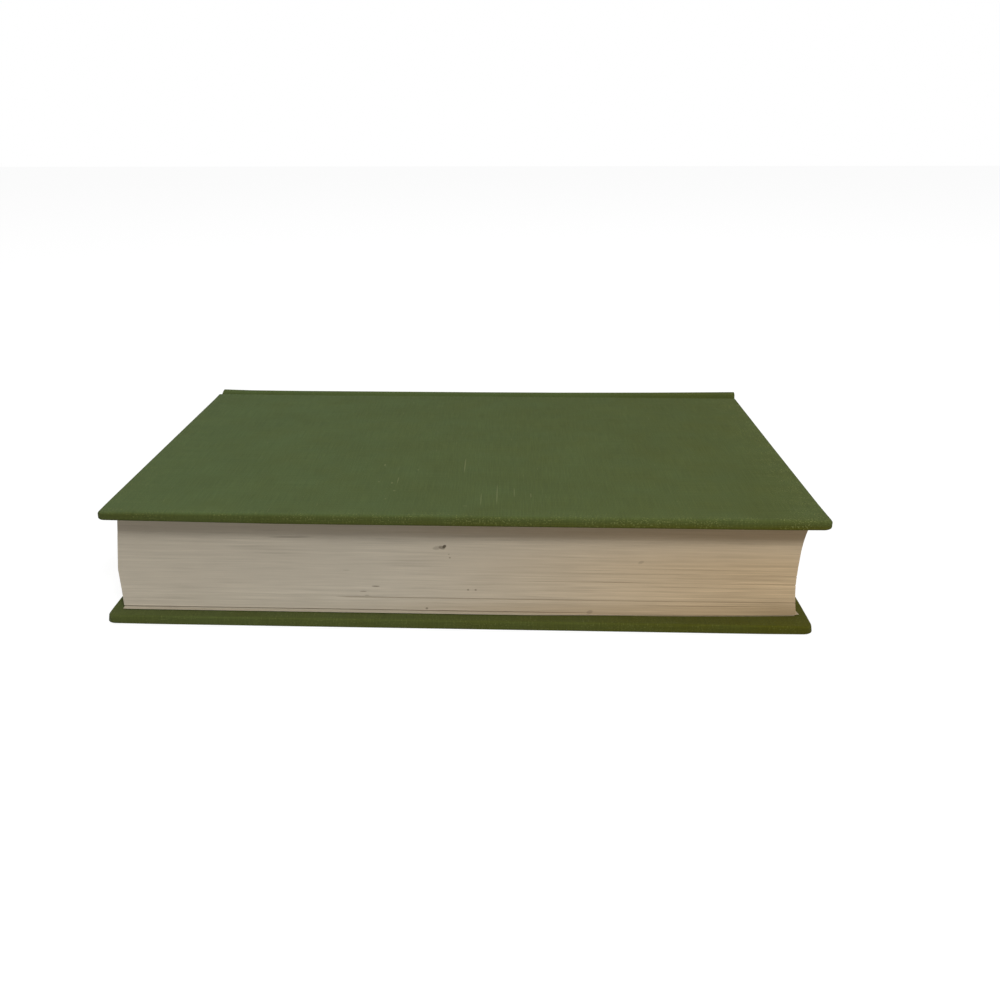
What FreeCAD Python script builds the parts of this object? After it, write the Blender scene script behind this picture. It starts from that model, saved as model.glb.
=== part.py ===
import FreeCAD, Part
import math
import os

# A cloth hardback lying on its back cover, in millimetres. X runs along the spine, the leaves' fore
# edge faces -Y, the spine faces +Y, and Z is up from the surface that the book lies on. The origin is
# at the middle of the book's base.

# Boards and the cloth over them
board_length = 221.4
board_width = 141.1
board_thickness = 2.35
board_corner_radius = 1.5
board_edge_radius = 0.6
cloth_thickness = 0.3
turn_in_width = 15.0

# Leaves
head_square = 3.45
block_thickness = 31.53
endpaper_thickness = 0.15
endpaper_gap = 0.05
fore_square_front = 6.2
fore_square_middle = 8.4
fore_square_back = 5.1

# Joint between each board and the shoulder of the leaves
groove_floor_width = 1.5
ridge_reach = 4.4
ridge_radius = 1.8
ridge_rise_over_front = 0.7
ridge_lift_over_base = 0.1
shoulder_tuck = 4.0

# Layers on the back of the leaves
mull_thickness = 0.3
mull_end_gap = 1.0
mull_flap_width = 25.0
glue_thickness = 0.05
lining_thickness = 0.25
lining_end_margin = 3.25
lining_margin = 1.5
hollow_depth = 0.9
inlay_thickness = 0.7
inlay_margin = 1.2
spine_bulge = 5.0
band_tape_width = 9.0
band_bead_radius = 0.7
band_margin = 2.5

# How far the pieces sit along the spine from the front cover's middle, as an old case settles
back_cover_slip = -1.245
spine_slip = 0.8
leaf_slip_front = -0.2
leaf_slip_middle = -2.1
leaf_slip_back = -1.0
lining_slip = -1.0

# Heights, counted from the base
cover_thickness = cloth_thickness + board_thickness + cloth_thickness
leaves_base = cover_thickness + endpaper_thickness + endpaper_gap + endpaper_thickness
leaves_top = leaves_base + block_thickness
book_height = leaves_top + leaves_base
ridge_top = book_height + ridge_rise_over_front
spine_middle = (ridge_top + ridge_lift_over_base) / 2

# Places along X
cover_length = board_length + 2 * cloth_thickness
leaf_length = board_length - 2 * head_square
mull_length = cover_length - 2 * (turn_in_width + mull_end_gap)
lining_length = leaf_length - 2 * lining_end_margin
case_slips = (0, back_cover_slip, spine_slip)
front_x = -(min(case_slips) + max(case_slips)) / 2
back_x = front_x + back_cover_slip
spine_x = front_x + spine_slip
lining_x = front_x + lining_slip

# Places along Y
cover_width = board_width + 2 * cloth_thickness
root_from_fore = cover_width + groove_floor_width
ridge_from_fore = root_from_fore + ridge_reach
depth = ridge_from_fore + spine_bulge
fore_y = -depth / 2
root_y = fore_y + root_from_fore
ridge_y = fore_y + ridge_from_fore
spine_y = fore_y + depth

# Offsets of the layers that lie on the shoulders, from the outermost leaf
hinge_stack = endpaper_thickness + endpaper_gap + endpaper_thickness
mull_stack = hinge_stack + mull_thickness
cloth_stack = mull_stack + cloth_thickness

# Apex of the leaves' rounded back, inside the layers behind it
lining_offset = glue_thickness + mull_thickness + glue_thickness
back_stack = lining_offset + lining_thickness + hollow_depth + inlay_thickness
back_apex_y = spine_y - cloth_thickness - back_stack

# Height of the middle of the leaves
leaves_middle = (leaves_top + leaves_base) / 2


def point(y, z):
    """A point of the book's cross-section."""
    return FreeCAD.Vector(0, y, z)


def polar(centre, radius, angle):
    """A point at an angle, in degrees from +Y towards +Z, round a centre in the cross-section."""
    turn = math.radians(angle)
    return centre + point(radius * math.cos(turn), radius * math.sin(turn))


def arc(centre, radius, start, end):
    """An arc of the cross-section between two angles."""
    middle = polar(centre, radius, (start + end) / 2)
    return Part.Arc(polar(centre, radius, start), middle, polar(centre, radius, end)).toShape()


def line(start, end):
    """A straight edge."""
    return Part.LineSegment(start, end).toShape()


def along_x(edges, x, length):
    """A solid that carries a closed outline of the cross-section along X, centred on x."""
    face = Part.Face(Part.Wire(Part.__sortEdges__(edges)))
    face.translate(FreeCAD.Vector(x - length / 2, 0, 0))
    return face.extrude(FreeCAD.Vector(length, 0, 0))


def box(x, length, y0, y1, z0, z1):
    """A box centred on x, between two places along Y and two heights."""
    low, high = min(z0, z1), max(z0, z1)
    return Part.makeBox(length, y1 - y0, high - low, FreeCAD.Vector(x - length / 2, y0, low))


def save(name, shape):
    """Write one piece to its own file."""
    shape.exportStep(os.path.join("parts", name + ".step"))


class Shoulder:
    """One of the two shoulders, where the outer leaves bend away over the edge of a board."""

    def __init__(self, side, leaf_z, ridge_z):
        self.side = side
        self.leaf_z = leaf_z
        self.tip = point(ridge_y, ridge_z - side * ridge_radius)
        rise = abs(self.tip.z - leaf_z)
        wrap = ridge_radius - cloth_stack
        self.radius = (ridge_reach**2 + rise**2 - wrap**2) / (2 * (wrap + rise))
        self.centre = point(root_y, leaf_z + side * self.radius)
        way = self.tip - self.centre
        self.case_turn = math.degrees(math.atan2(way.y, side * -way.z))
        self.leaf_turn = self.case_turn - shoulder_tuck
        self.leaf_tip = self.at(0, self.leaf_turn)

    def at(self, offset, turn):
        """A point on the layer at an offset from the leaves, at an angle along the bend."""
        return polar(self.centre, self.radius - offset, self.side * (turn - 90))

    def bend(self, offset, turn):
        """The bend of the layer at an offset from the leaves, from the root to an angle."""
        return Part.Arc(self.at(offset, 0), self.at(offset, turn / 2), self.at(offset, turn)).toShape()


front_shoulder = Shoulder(1, leaves_top, ridge_top)
back_shoulder = Shoulder(-1, leaves_base, ridge_lift_over_base)

# Round of the case's spine: it meets both ridges smoothly and ends at the book's back
tip_gap = spine_y - ridge_y
half_height = front_shoulder.tip.z - spine_middle
case_radius = (tip_gap**2 + half_height**2 - ridge_radius**2) / (2 * (tip_gap - ridge_radius))
case_centre = point(spine_y - case_radius, spine_middle)

# Round of the leaves' back, from one shoulder to the other
leaf_back = Part.Arc(front_shoulder.leaf_tip, point(back_apex_y, spine_middle), back_shoulder.leaf_tip)


def case_outline(inset):
    """Edges of the case's spine, from one groove to the other, at an inset from the cloth's outside."""
    edges = []
    ends = []
    for shoulder in (front_shoulder, back_shoulder):
        turn = shoulder.case_turn
        offset = cloth_stack - inset
        edges.append(shoulder.bend(offset, turn))
        away = math.degrees(math.atan2(shoulder.tip.z - case_centre.z, shoulder.tip.y - case_centre.y))
        start = shoulder.side * (turn + 90)
        edges.append(arc(shoulder.tip, ridge_radius - inset, start, away))
        ends.append(away)
    edges.append(arc(case_centre, case_radius - inset, ends[0], ends[1]))
    edges.append(line(front_shoulder.at(offset, 0), back_shoulder.at(offset, 0)))
    return edges


def back_outline(shoulder_offset, back_offset):
    """Edges of a layer behind the leaves, from one root to the other."""
    edges = []
    tips = []
    for shoulder in (front_shoulder, back_shoulder):
        turn = shoulder.leaf_turn
        start = shoulder.at(shoulder_offset, turn)
        end = shoulder.leaf_tip + point(back_offset, 0)
        edges.append(shoulder.bend(shoulder_offset, turn))
        reach = (shoulder_offset + back_offset) / 2
        crest = polar(shoulder.leaf_tip, reach, shoulder.side * (turn + 90) / 2)
        if reach > 0:
            edges.append(Part.Arc(start, crest, end).toShape())
        tips.append(end)
    apex = point(back_apex_y + back_offset, spine_middle)
    edges.append(Part.Arc(tips[0], apex, tips[1]).toShape())
    roots = [shoulder.at(shoulder_offset, 0) for shoulder in (front_shoulder, back_shoulder)]
    edges.append(line(*roots))
    return edges


def back_layer(x, length, shoulder_offset, back_offset, thickness):
    """A sheet of even thickness that follows the back of the leaves."""
    outer = along_x(back_outline(shoulder_offset + thickness, back_offset + thickness), x, length)
    inner = along_x(back_outline(shoulder_offset, back_offset), x, length)
    return outer.cut(inner)


def leaf_end(end, extra):
    """The bowed line of the leaves' head or tail, seen from the fore edge, moved out by an extra."""
    slips = (leaf_slip_front, leaf_slip_middle, leaf_slip_back)
    heights = (front_shoulder.tip.z, leaves_middle, back_shoulder.tip.z)
    reach = end * (leaf_length / 2 + extra)
    return Part.Arc(*[FreeCAD.Vector(front_x + slip + reach, fore_y, z) for slip, z in zip(slips, heights)])


def leaf_space(extra):
    """The space between the leaves' head and tail, longer by an extra at each end."""
    ends = [leaf_end(end, extra) for end in (-1, 1)]
    edges = [end.toShape() for end in ends]
    edges.append(line(ends[0].StartPoint, ends[1].StartPoint))
    edges.append(line(ends[0].EndPoint, ends[1].EndPoint))
    face = Part.Face(Part.Wire(Part.__sortEdges__(edges)))
    return face.extrude(FreeCAD.Vector(0, depth, 0))


def text_block():
    """All the leaves as one solid, with a hollow fore edge and a rounded back with shoulders."""
    fore_front = point(fore_y + fore_square_front, leaves_top)
    fore_middle = point(fore_y + fore_square_middle, leaves_middle)
    fore_back = point(fore_y + fore_square_back, leaves_base)
    edges = [
        Part.Arc(fore_front, fore_middle, fore_back).toShape(),
        line(fore_front, front_shoulder.at(0, 0)),
        front_shoulder.bend(0, front_shoulder.leaf_turn),
        leaf_back.toShape(),
        back_shoulder.bend(0, back_shoulder.leaf_turn),
        line(fore_back, back_shoulder.at(0, 0)),
    ]
    return along_x(edges, front_x, 2 * leaf_length).common(leaf_space(0))


def flyleaf(shoulder, slip, fore_square):
    """Loose half of an endpaper: flat on the leaves, doubled where it folds at the shoulder."""
    x = front_x + slip
    turn = shoulder.leaf_turn
    top = shoulder.leaf_z + shoulder.side * endpaper_thickness
    sheet = box(x, leaf_length, fore_y + fore_square, root_y, shoulder.leaf_z, top)
    edges = [
        shoulder.bend(0, turn),
        shoulder.bend(hinge_stack, turn),
        line(shoulder.at(0, 0), shoulder.at(hinge_stack, 0)),
        line(shoulder.at(0, turn), shoulder.at(hinge_stack, turn)),
    ]
    return sheet.fuse(along_x(edges, x, leaf_length)).removeSplitter()


def slab(x, length, y0, y1, z0, z1, corner_radius, edge_radius):
    """A flat slab with round corners and softened edges."""
    solid = box(x, length, y0, y1, z0, z1)
    upright = [edge for edge in solid.Edges if abs(edge.tangentAt(edge.FirstParameter).z) > 0.9]
    solid = solid.makeFillet(corner_radius, upright)
    rims = [edge for edge in solid.Edges if edge.BoundBox.ZLength < edge_radius / 10]
    return solid.makeFillet(edge_radius, rims)


class Cover:
    """One cover: its board, the cloth round it, and what is pasted inside."""

    def __init__(self, shoulder, x, fore_square):
        self.side = shoulder.side
        self.x = x
        self.fore_square = fore_square
        self.leaf_z = shoulder.leaf_z

    def level(self, offset):
        """A height at an offset from the outermost leaf, out through the cover."""
        return self.leaf_z + self.side * offset

    def board(self):
        """The stiff board."""
        y0 = fore_y + cloth_thickness
        levels = self.level(mull_stack), self.level(mull_stack + board_thickness)
        size = (self.x, board_length, y0, y0 + board_width)
        return slab(*size, *levels, board_corner_radius, board_edge_radius)

    def cloth(self):
        """The cloth over the board, turned in on three sides and laid into the groove."""
        inside = self.level(hinge_stack)
        outside = self.level(mull_stack + board_thickness + cloth_thickness)
        size = (self.x, cover_length, fore_y, fore_y + cover_width)
        radii = (board_corner_radius + cloth_thickness, board_edge_radius + cloth_thickness)
        case = slab(*size, inside, outside, *radii)
        strip_y = fore_y + cover_width - radii[0] - cloth_thickness
        strip = box(self.x, cover_length, strip_y, root_y, inside, self.level(cloth_stack))
        window_length = cover_length - 2 * turn_in_width
        lining = self.level(mull_stack)
        window = box(self.x, window_length, fore_y + turn_in_width, root_y, inside, lining)
        return case.fuse(strip).removeSplitter().cut(self.board()).cut(window)

    def mull_flap(self):
        """Edge of the open-weave cloth, glued to the inside of the board."""
        y0 = fore_y + cloth_thickness + board_width - mull_flap_width
        return box(self.x, mull_length, y0, root_y, self.level(hinge_stack), self.level(mull_stack))

    def pastedown(self):
        """Pasted half of an endpaper, sunk where it lies on the bare board."""
        face = endpaper_thickness + endpaper_gap
        under, over = self.level(face), self.level(hinge_stack)
        sheet = box(self.x, leaf_length, fore_y + self.fore_square, root_y, under, over)
        pan_length = cover_length - 2 * turn_in_width - 2 * endpaper_gap
        pan_y0 = fore_y + turn_in_width + endpaper_gap
        pan_y1 = fore_y + cloth_thickness + board_width - mull_flap_width - endpaper_gap
        pan = box(self.x, pan_length, pan_y0, pan_y1, under, self.level(mull_stack))
        wall = endpaper_thickness
        floor = self.level(mull_stack - endpaper_thickness)
        hollow = box(self.x, pan_length - 2 * wall, pan_y0 + wall, pan_y1 - wall, under, floor)
        return sheet.fuse(pan).removeSplitter().cut(hollow)


def spine_cloth():
    """Cloth over the spine and both shoulders, turned in over the ends of the inlay."""
    outer = along_x(case_outline(0), spine_x, cover_length)
    inner = along_x(case_outline(cloth_thickness), spine_x, cover_length)
    cloth = outer.cut(inner)
    fold_depth = cloth_thickness + inlay_thickness
    for end in (-1, 1):
        edge_x = spine_x + end * (cover_length - cloth_thickness) / 2
        fold_x = spine_x + end * (cover_length - turn_in_width) / 2
        cap = inlay_sheet(0, fold_depth + cloth_thickness, edge_x, cloth_thickness)
        fold = inlay_sheet(fold_depth, cloth_thickness, fold_x, turn_in_width)
        cloth = cloth.fuse([cap, fold])
    return cloth.removeSplitter()


def inlay_sheet(inset, thickness, x, length):
    """A curved sheet inside the case's spine, between its ridges."""
    reach = math.degrees(math.asin((half_height - inlay_margin) / case_radius))
    outer = case_radius - inset
    inner = outer - thickness
    edges = [arc(case_centre, outer, -reach, reach), arc(case_centre, inner, -reach, reach)]
    for turn in (-reach, reach):
        edges.append(line(polar(case_centre, outer, turn), polar(case_centre, inner, turn)))
    return along_x(edges, x, length)


def spine_inlay():
    """The curved card that stiffens the spine, clear of the leaves behind it."""
    length = cover_length - 2 * cloth_thickness
    return inlay_sheet(cloth_thickness, inlay_thickness, spine_x, length)


def spine_mull():
    """Open-weave cloth glued over the back of the leaves and both shoulders."""
    return back_layer(lining_x, mull_length, hinge_stack, glue_thickness, mull_thickness)


def spine_lining():
    """Strip of strong paper glued over the mull."""
    layer = back_layer(lining_x, lining_length, lining_offset, lining_offset, lining_thickness)
    low = leaves_base + lining_margin
    high = leaves_top - lining_margin
    return layer.common(box(lining_x, lining_length, ridge_y - ridge_radius, spine_y, low, high))


def end_band(end):
    """Woven band at one end of the leaves' back: a tape with a bead that stands over the leaves."""
    bead_out = band_bead_radius + glue_thickness
    long_tape = back_layer(front_x, 2 * leaf_length, glue_thickness, glue_thickness, mull_thickness)
    tape = long_tape.common(leaf_space(bead_out)).cut(leaf_space(-band_tape_width))
    low = leaves_base + band_margin
    high = leaves_top - band_margin
    end_x = front_x + end * leaf_length / 2
    tape = tape.common(box(end_x, leaf_length, ridge_y - ridge_radius, spine_y, low, high))
    return tape.fuse(bead(end, bead_out))


def part_way(curve, share):
    """The point at a share of the way along an arc."""
    return curve.value(curve.FirstParameter + share * (curve.LastParameter - curve.FirstParameter))


def bead(end, bead_out):
    """The bead of an end band, round the back of the leaves and along their bowed end."""
    edge = leaf_end(end, bead_out)
    margin = band_margin / leaf_back.length()
    places = []
    for share in (margin, 0.5, 1 - margin):
        across = part_way(leaf_back, share)
        places.append(FreeCAD.Vector(part_way(edge, share).x, across.y, across.z))
    route = Part.Arc(*places)
    section = Part.Circle(route.StartPoint, route.tangent(route.FirstParameter)[0], band_bead_radius)
    return Part.Wire(route.toShape()).makePipeShell([Part.Wire(section.toShape())], True, True)


def main():
    os.makedirs("parts", exist_ok=True)
    save("text_block", text_block())
    save("front_flyleaf", flyleaf(front_shoulder, leaf_slip_front, fore_square_front))
    save("back_flyleaf", flyleaf(back_shoulder, leaf_slip_back, fore_square_back))
    covers = {
        "front": Cover(front_shoulder, front_x, fore_square_front),
        "back": Cover(back_shoulder, back_x, fore_square_back),
    }
    for name, cover in covers.items():
        save(name + "_board", cover.board())
        save(name + "_cover_cloth", cover.cloth())
        save(name + "_mull_flap", cover.mull_flap())
        save(name + "_pastedown", cover.pastedown())
    save("spine_cloth", spine_cloth())
    save("spine_inlay", spine_inlay())
    save("spine_mull", spine_mull())
    save("spine_lining", spine_lining())
    save("head_band", end_band(-1))
    save("tail_band", end_band(1))


main()
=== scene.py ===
"""A cloth-covered hardback book: its cloth, leaves, endpapers and end bands, dressed over the solid model."""

import logging
import math
import random
from collections.abc import Callable, Sequence
from dataclasses import dataclass
from enum import Enum

import bmesh
import bpy
import numpy as np
from mathutils import Matrix, Vector

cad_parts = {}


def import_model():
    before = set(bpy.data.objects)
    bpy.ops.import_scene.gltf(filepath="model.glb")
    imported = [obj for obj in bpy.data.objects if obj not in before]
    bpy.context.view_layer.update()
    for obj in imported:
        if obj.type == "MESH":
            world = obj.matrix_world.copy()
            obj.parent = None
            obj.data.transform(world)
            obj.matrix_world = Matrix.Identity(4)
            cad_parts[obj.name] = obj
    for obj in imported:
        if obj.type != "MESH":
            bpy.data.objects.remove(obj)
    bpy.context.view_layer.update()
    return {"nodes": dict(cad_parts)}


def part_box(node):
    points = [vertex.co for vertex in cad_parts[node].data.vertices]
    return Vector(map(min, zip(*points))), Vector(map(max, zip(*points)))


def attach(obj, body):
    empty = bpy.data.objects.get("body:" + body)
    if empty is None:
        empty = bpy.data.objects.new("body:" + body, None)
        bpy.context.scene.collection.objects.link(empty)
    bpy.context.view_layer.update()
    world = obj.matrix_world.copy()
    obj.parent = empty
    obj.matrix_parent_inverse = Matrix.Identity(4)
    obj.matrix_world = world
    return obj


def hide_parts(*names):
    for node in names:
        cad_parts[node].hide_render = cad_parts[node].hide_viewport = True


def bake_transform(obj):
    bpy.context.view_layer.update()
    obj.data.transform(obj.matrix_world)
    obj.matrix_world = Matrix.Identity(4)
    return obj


LOG = logging.getLogger("book")
MM = 0.001
NEAR = 0.02
Triple = tuple[float, float, float]


class Slot(Enum):
    """Material slots of the record."""

    LEAVES = "leaves"
    ENDPAPER = "endpaper"
    CLOTH = "book_cloth"
    MULL = "mull"
    BAND = "end_band"


class Side(Enum):
    """The two covers, as the way out of the leaves along Z."""

    FRONT = 1
    BACK = -1

    @property
    def word(self) -> str:
        """The side's word in node and body names."""
        return self.name.lower()


def colour(red: float, green: float, blue: float) -> tuple[float, float, float, float]:
    """A paint colour.

    Args:
        red, green, blue: the colour as seen, 0 to 255.

    Returns:
        The same colour as linear light with full cover.
    """
    shares = [level / 255 for level in (red, green, blue)]
    light = [share / 12.92 if share < 0.0404 else ((share + 0.055) / 1.055) ** 2.4 for share in shares]
    return (*light, 1.0)


def held(values: np.ndarray) -> np.ndarray:
    """Values kept between 0 and 1."""
    return np.clip(values, 0, 1)


def eased(share: np.ndarray) -> np.ndarray:
    """A share that leaves 0 and reaches 1 gently."""
    return share * share * (3 - 2 * share)


def run_lengths(line: np.ndarray) -> np.ndarray:
    """Length from a line's start to each of its places."""
    return np.concatenate([[0], np.cumsum(np.linalg.norm(np.diff(line, axis=0), axis=1))])


def as_laid(places: np.ndarray, middles: np.ndarray, normals: np.ndarray) -> np.ndarray:
    """Chart of a sheet that lies flat: its own X and Y."""
    return places[:, :2]


def node_box(name: str) -> tuple[Vector, Vector]:
    """Lowest and highest corner of a solid, in millimetres."""
    low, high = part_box(name)
    return Vector(low) / MM, Vector(high) / MM


class Value:
    """A number or colour that a material's nodes work out, fit for sums."""

    def __init__(self, graph: "Graph", socket: bpy.types.NodeSocket) -> None:
        """Take a node's output."""
        self.graph = graph
        self.socket = socket

    def __add__(self, other: object) -> "Value":
        """Both together."""
        return self.graph.math("ADD", self, other)

    def __sub__(self, other: object) -> "Value":
        """What is left."""
        return self.graph.math("SUBTRACT", self, other)

    def __mul__(self, other: object) -> "Value":
        """One times the other."""
        return self.graph.math("MULTIPLY", self, other)

    def __truediv__(self, other: object) -> "Value":
        """One over the other."""
        return self.graph.math("DIVIDE", self, other)

    def __abs__(self) -> "Value":
        """The value without its sign."""
        return self.graph.math("ABSOLUTE", self)


class Graph:
    """A material's nodes, or the world's."""

    def __init__(self, name: str, world: bool = False) -> None:
        """Start empty."""
        self.owner = (bpy.data.worlds if world else bpy.data.materials).new(name)
        self.owner.use_nodes = True
        self.tree = self.owner.node_tree
        self.tree.nodes.clear()

    def node(self, kind: str, **settings: object) -> bpy.types.Node:
        """Add a node and set its properties."""
        node = self.tree.nodes.new("ShaderNode" + kind)
        for name, value in settings.items():
            setattr(node, name, value)
        return node

    def feed(self, socket: bpy.types.NodeSocket, value: object) -> None:
        """Link a socket to a node's output, or set its value."""
        if isinstance(value, Value):
            self.tree.links.new(value.socket, socket)
        else:
            socket.default_value = value

    def fed(self, node: bpy.types.Node, inputs: dict[int | str, object], output: int | str = 0) -> Value:
        """Feed a node's inputs, and take one of its outputs."""
        for key, value in inputs.items():
            self.feed(node.inputs[key], value)
        return Value(self, node.outputs[output])

    def math(self, operation: str, *values: object, clamp: bool = False) -> Value:
        """One sum."""
        return self.fed(self.node("Math", operation=operation, use_clamp=clamp), dict(enumerate(values)))

    def span(self, value: Value, low: float, high: float, start: float = 0.0, end: float = 1.0) -> Value:
        """Carry a value smoothly from one range to another, held at the ends."""
        node = self.node("MapRange", interpolation_type="SMOOTHSTEP")
        return self.fed(node, dict(enumerate((value, low, high, start, end))))

    def vector(self, x: object, y: object, z: object = 0.0) -> Value:
        """Three numbers as one vector."""
        return self.fed(self.node("CombineXYZ"), dict(enumerate((x, y, z))))

    def parts(self, vector: Value) -> tuple[Value, ...]:
        """The three numbers of a vector."""
        node = self.node("SeparateXYZ")
        return tuple(self.fed(node, {0: vector}, index) for index in range(3))

    def uv(self, name: str) -> tuple[Value, ...]:
        """The two numbers of a UV map, in millimetres."""
        return self.parts(self.fed(self.node("UVMap", uv_map=name), {}))

    def place(self) -> tuple[Value, ...]:
        """Place on the object, in millimetres."""
        return self.parts(self.shade(self.fed(self.node("TexCoord"), {}, "Object"), 1 / MM))

    def attribute(self, name: str) -> Value:
        """A number kept at each point of the mesh."""
        return self.fed(self.node("Attribute", attribute_name=name), {}, "Fac")

    def noise(self, vector: Value, scale: float, detail: float = 2.0) -> Value:
        """Soft random variation round 0.5."""
        return self.fed(self.node("TexNoise"), {"Vector": vector, "Scale": scale, "Detail": detail}, "Fac")

    def mix(self, share: object, first: object, second: object) -> Value:
        """Mix two colours."""
        return self.fed(self.node("Mix", data_type="RGBA"), {0: share, 6: first, 7: second}, 2)

    def shade(self, paint: object, factor: object) -> Value:
        """Multiply a colour or a vector by a factor."""
        bare = paint if isinstance(paint, Value) else paint[:3]
        return self.fed(self.node("VectorMath", operation="SCALE"), {0: bare, "Scale": factor})

    def spot(
        self,
        across: Value,
        along: Value,
        centre: tuple[float, float],
        reach: tuple[float, float],
        slant: float = 0.0,
    ) -> Value:
        """An oval mark, 1 in its middle and 0 outside.

        Args:
            across, along: the two places on the surface, in millimetres.
            centre: the mark's middle.
            reach: the mark's half sizes.
            slant: how far it moves along for each millimetre across.

        Returns:
            The mark's strength.
        """
        dx = across - centre[0]
        dy = dx * -slant + along - centre[1]
        wide = self.math("POWER", dx / reach[0], 2.0)
        high = self.math("POWER", dy / reach[1], 2.0)
        return self.span(wide + high, 1.0, 0.25)

    def finish(
        self,
        paint: Value,
        roughness: float,
        height: Value,
        depth: float,
        sheen: float = 0.0,
        specular: float = 0.3,
    ) -> bpy.types.Material:
        """Close the material with its shader.

        Args:
            paint: the surface's colour.
            roughness: how matt it is.
            height: the relief, 0 to 1.
            depth: the relief's depth, in millimetres.
            sheen: soft glow of loose fibres.
            specular: strength of the reflection.

        Returns:
            The finished material.
        """
        relief = {"Strength": 1.0, "Distance": depth * MM, "Height": height}
        looks = {
            "Base Color": paint,
            "Roughness": roughness,
            "Specular IOR Level": specular,
            "Sheen Weight": sheen,
            "Sheen Roughness": 0.6,
            "Normal": self.fed(self.node("Bump"), relief),
        }
        return self.close(self.fed(self.node("BsdfPrincipled"), looks))

    def close(self, shader: Value, output: str = "OutputMaterial") -> bpy.types.ID:
        """End with a shader, and give the material or world."""
        self.feed(self.node(output).inputs["Surface"], shader)
        return self.owner


@dataclass(frozen=True)
class BookCloth:
    """Plain-weave cloth, dyed green, with slubs and rubbed threads at the edges; the rubbed flecks, a
    yellowish tint and a darkening also carry painted light and shade.
    """

    dye: Triple = (84, 99, 58)
    slub_dye: Triple = (120, 126, 84)
    # Colour of rubbed flecks: real rubbing, with extra flecks towards the tail as painted light.
    worn_and_lit_dye: Triple = (142, 147, 88)
    # Yellowish tint: partly fading with age, partly painted warm light and painted shade.
    olive_and_warm_light_dye: Triple = (80, 80, 20)
    # Dark green of the painted shade on the front cover's fore edge.
    shade_dark: Triple = (45, 62, 40)
    warp_pitch: float = 0.42
    weft_pitch: float = 0.46
    slubs: tuple[tuple[float, float, float, float], ...] = (
        (0.3, -28.0, 0.3, 9.0),
        (11.7, -56.6, 0.24, 10.5),
        (6.7, -61.5, 0.2, 6.5),
        (17.2, -54.8, 0.2, 5.0),
        (-21.3, -44.0, 0.24, 3.6),
        (-23.0, -47.0, 0.45, 0.9),
        (-15.5, -33.5, 0.4, 0.6),
        (-27.4, -28.5, 0.4, 1.4),
        (-27.5, -46.0, 0.35, 0.6),
        (-21.5, -54.5, 0.6, 0.5),
        (-23.5, -62.0, 0.3, 0.5),
        (22.5, -57.5, 0.26, 2.4),
        (2.0, -67.5, 0.9, 0.3),
    )

    def build(self) -> bpy.types.Material:
        """Make the material."""
        g = Graph("green_book_cloth")
        u, v, _ = g.uv("weave")
        warp_wave = g.math("SINE", u * (math.pi / self.warp_pitch))
        weft_wave = g.math("SINE", v * (math.pi / self.weft_pitch))
        crossing = warp_wave * weft_wave * 0.45
        warp = abs(warp_wave) * 0.55 + crossing
        weft = abs(weft_wave) * 0.55 - crossing
        weave = g.math("MAXIMUM", warp, weft)
        warp_streak = g.noise(g.vector(u / self.warp_pitch, v / 14.0), 1.0, 2.0)
        weft_streak = g.noise(g.vector(u / 22.0, v / self.weft_pitch), 1.0, 2.0)
        cloud = g.noise(g.vector(u, v), 0.035, 3.0)
        thick = g.noise(g.vector(u / 0.5, v / 7.0, 4.0), 1.0, 1.0)
        slub = g.span(thick, 0.72, 0.8) * 0.6
        for x, y, wide, long in self.slubs:
            slub = g.math("MAXIMUM", slub, g.spot(u, v, (x, y), (wide, long)))
        tone = warp_streak * 0.34 + weft_streak * 0.26 + cloud * 0.2 + weave * 0.3 + 0.4
        mottle = g.noise(g.vector(u / 15.0, v / 15.0, 6.0), 1.0, 3.0)
        # Yellowish tint from its attribute: partly fading, partly painted warm light and painted shade.
        olive_and_warm_light = g.math("MULTIPLY_ADD", mottle - 0.49, 0.42, g.attribute("olive_and_warm_light"), clamp=True)
        paint = g.mix(olive_and_warm_light, colour(*self.dye), colour(*self.olive_and_warm_light_dye))
        # Painted shade: the front cover's fore edge darker towards the head.
        paint = g.shade(g.mix(g.attribute("grime_and_shade"), paint, colour(*self.shade_dark)), tone)
        paint = g.mix(slub * 0.52, paint, colour(*self.slub_dye))
        fray = g.noise(g.vector(u / 0.5, v / 0.45, 9.0), 1.0, 2.0)
        patch = g.noise(g.vector(u / 9.0, v / 4.0, 2.0), 1.0, 2.0)
        # Rubbed flecks: real rubbing, plus painted light where the attribute adds more towards the tail.
        rubbed = g.span(fray, 0.55, 0.67) * g.span(patch, 0.4, 0.58, 0.2, 1.0)
        worn_and_lit = g.attribute("wear_and_light") * rubbed
        paint = g.mix(worn_and_lit * 0.62, paint, colour(*self.worn_and_lit_dye))
        height = weave + (warp_streak + weft_streak) * 0.4 + slub * 0.7
        return g.finish(paint, 0.92, height, 0.1, sheen=0.02, specular=0.08)


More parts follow.
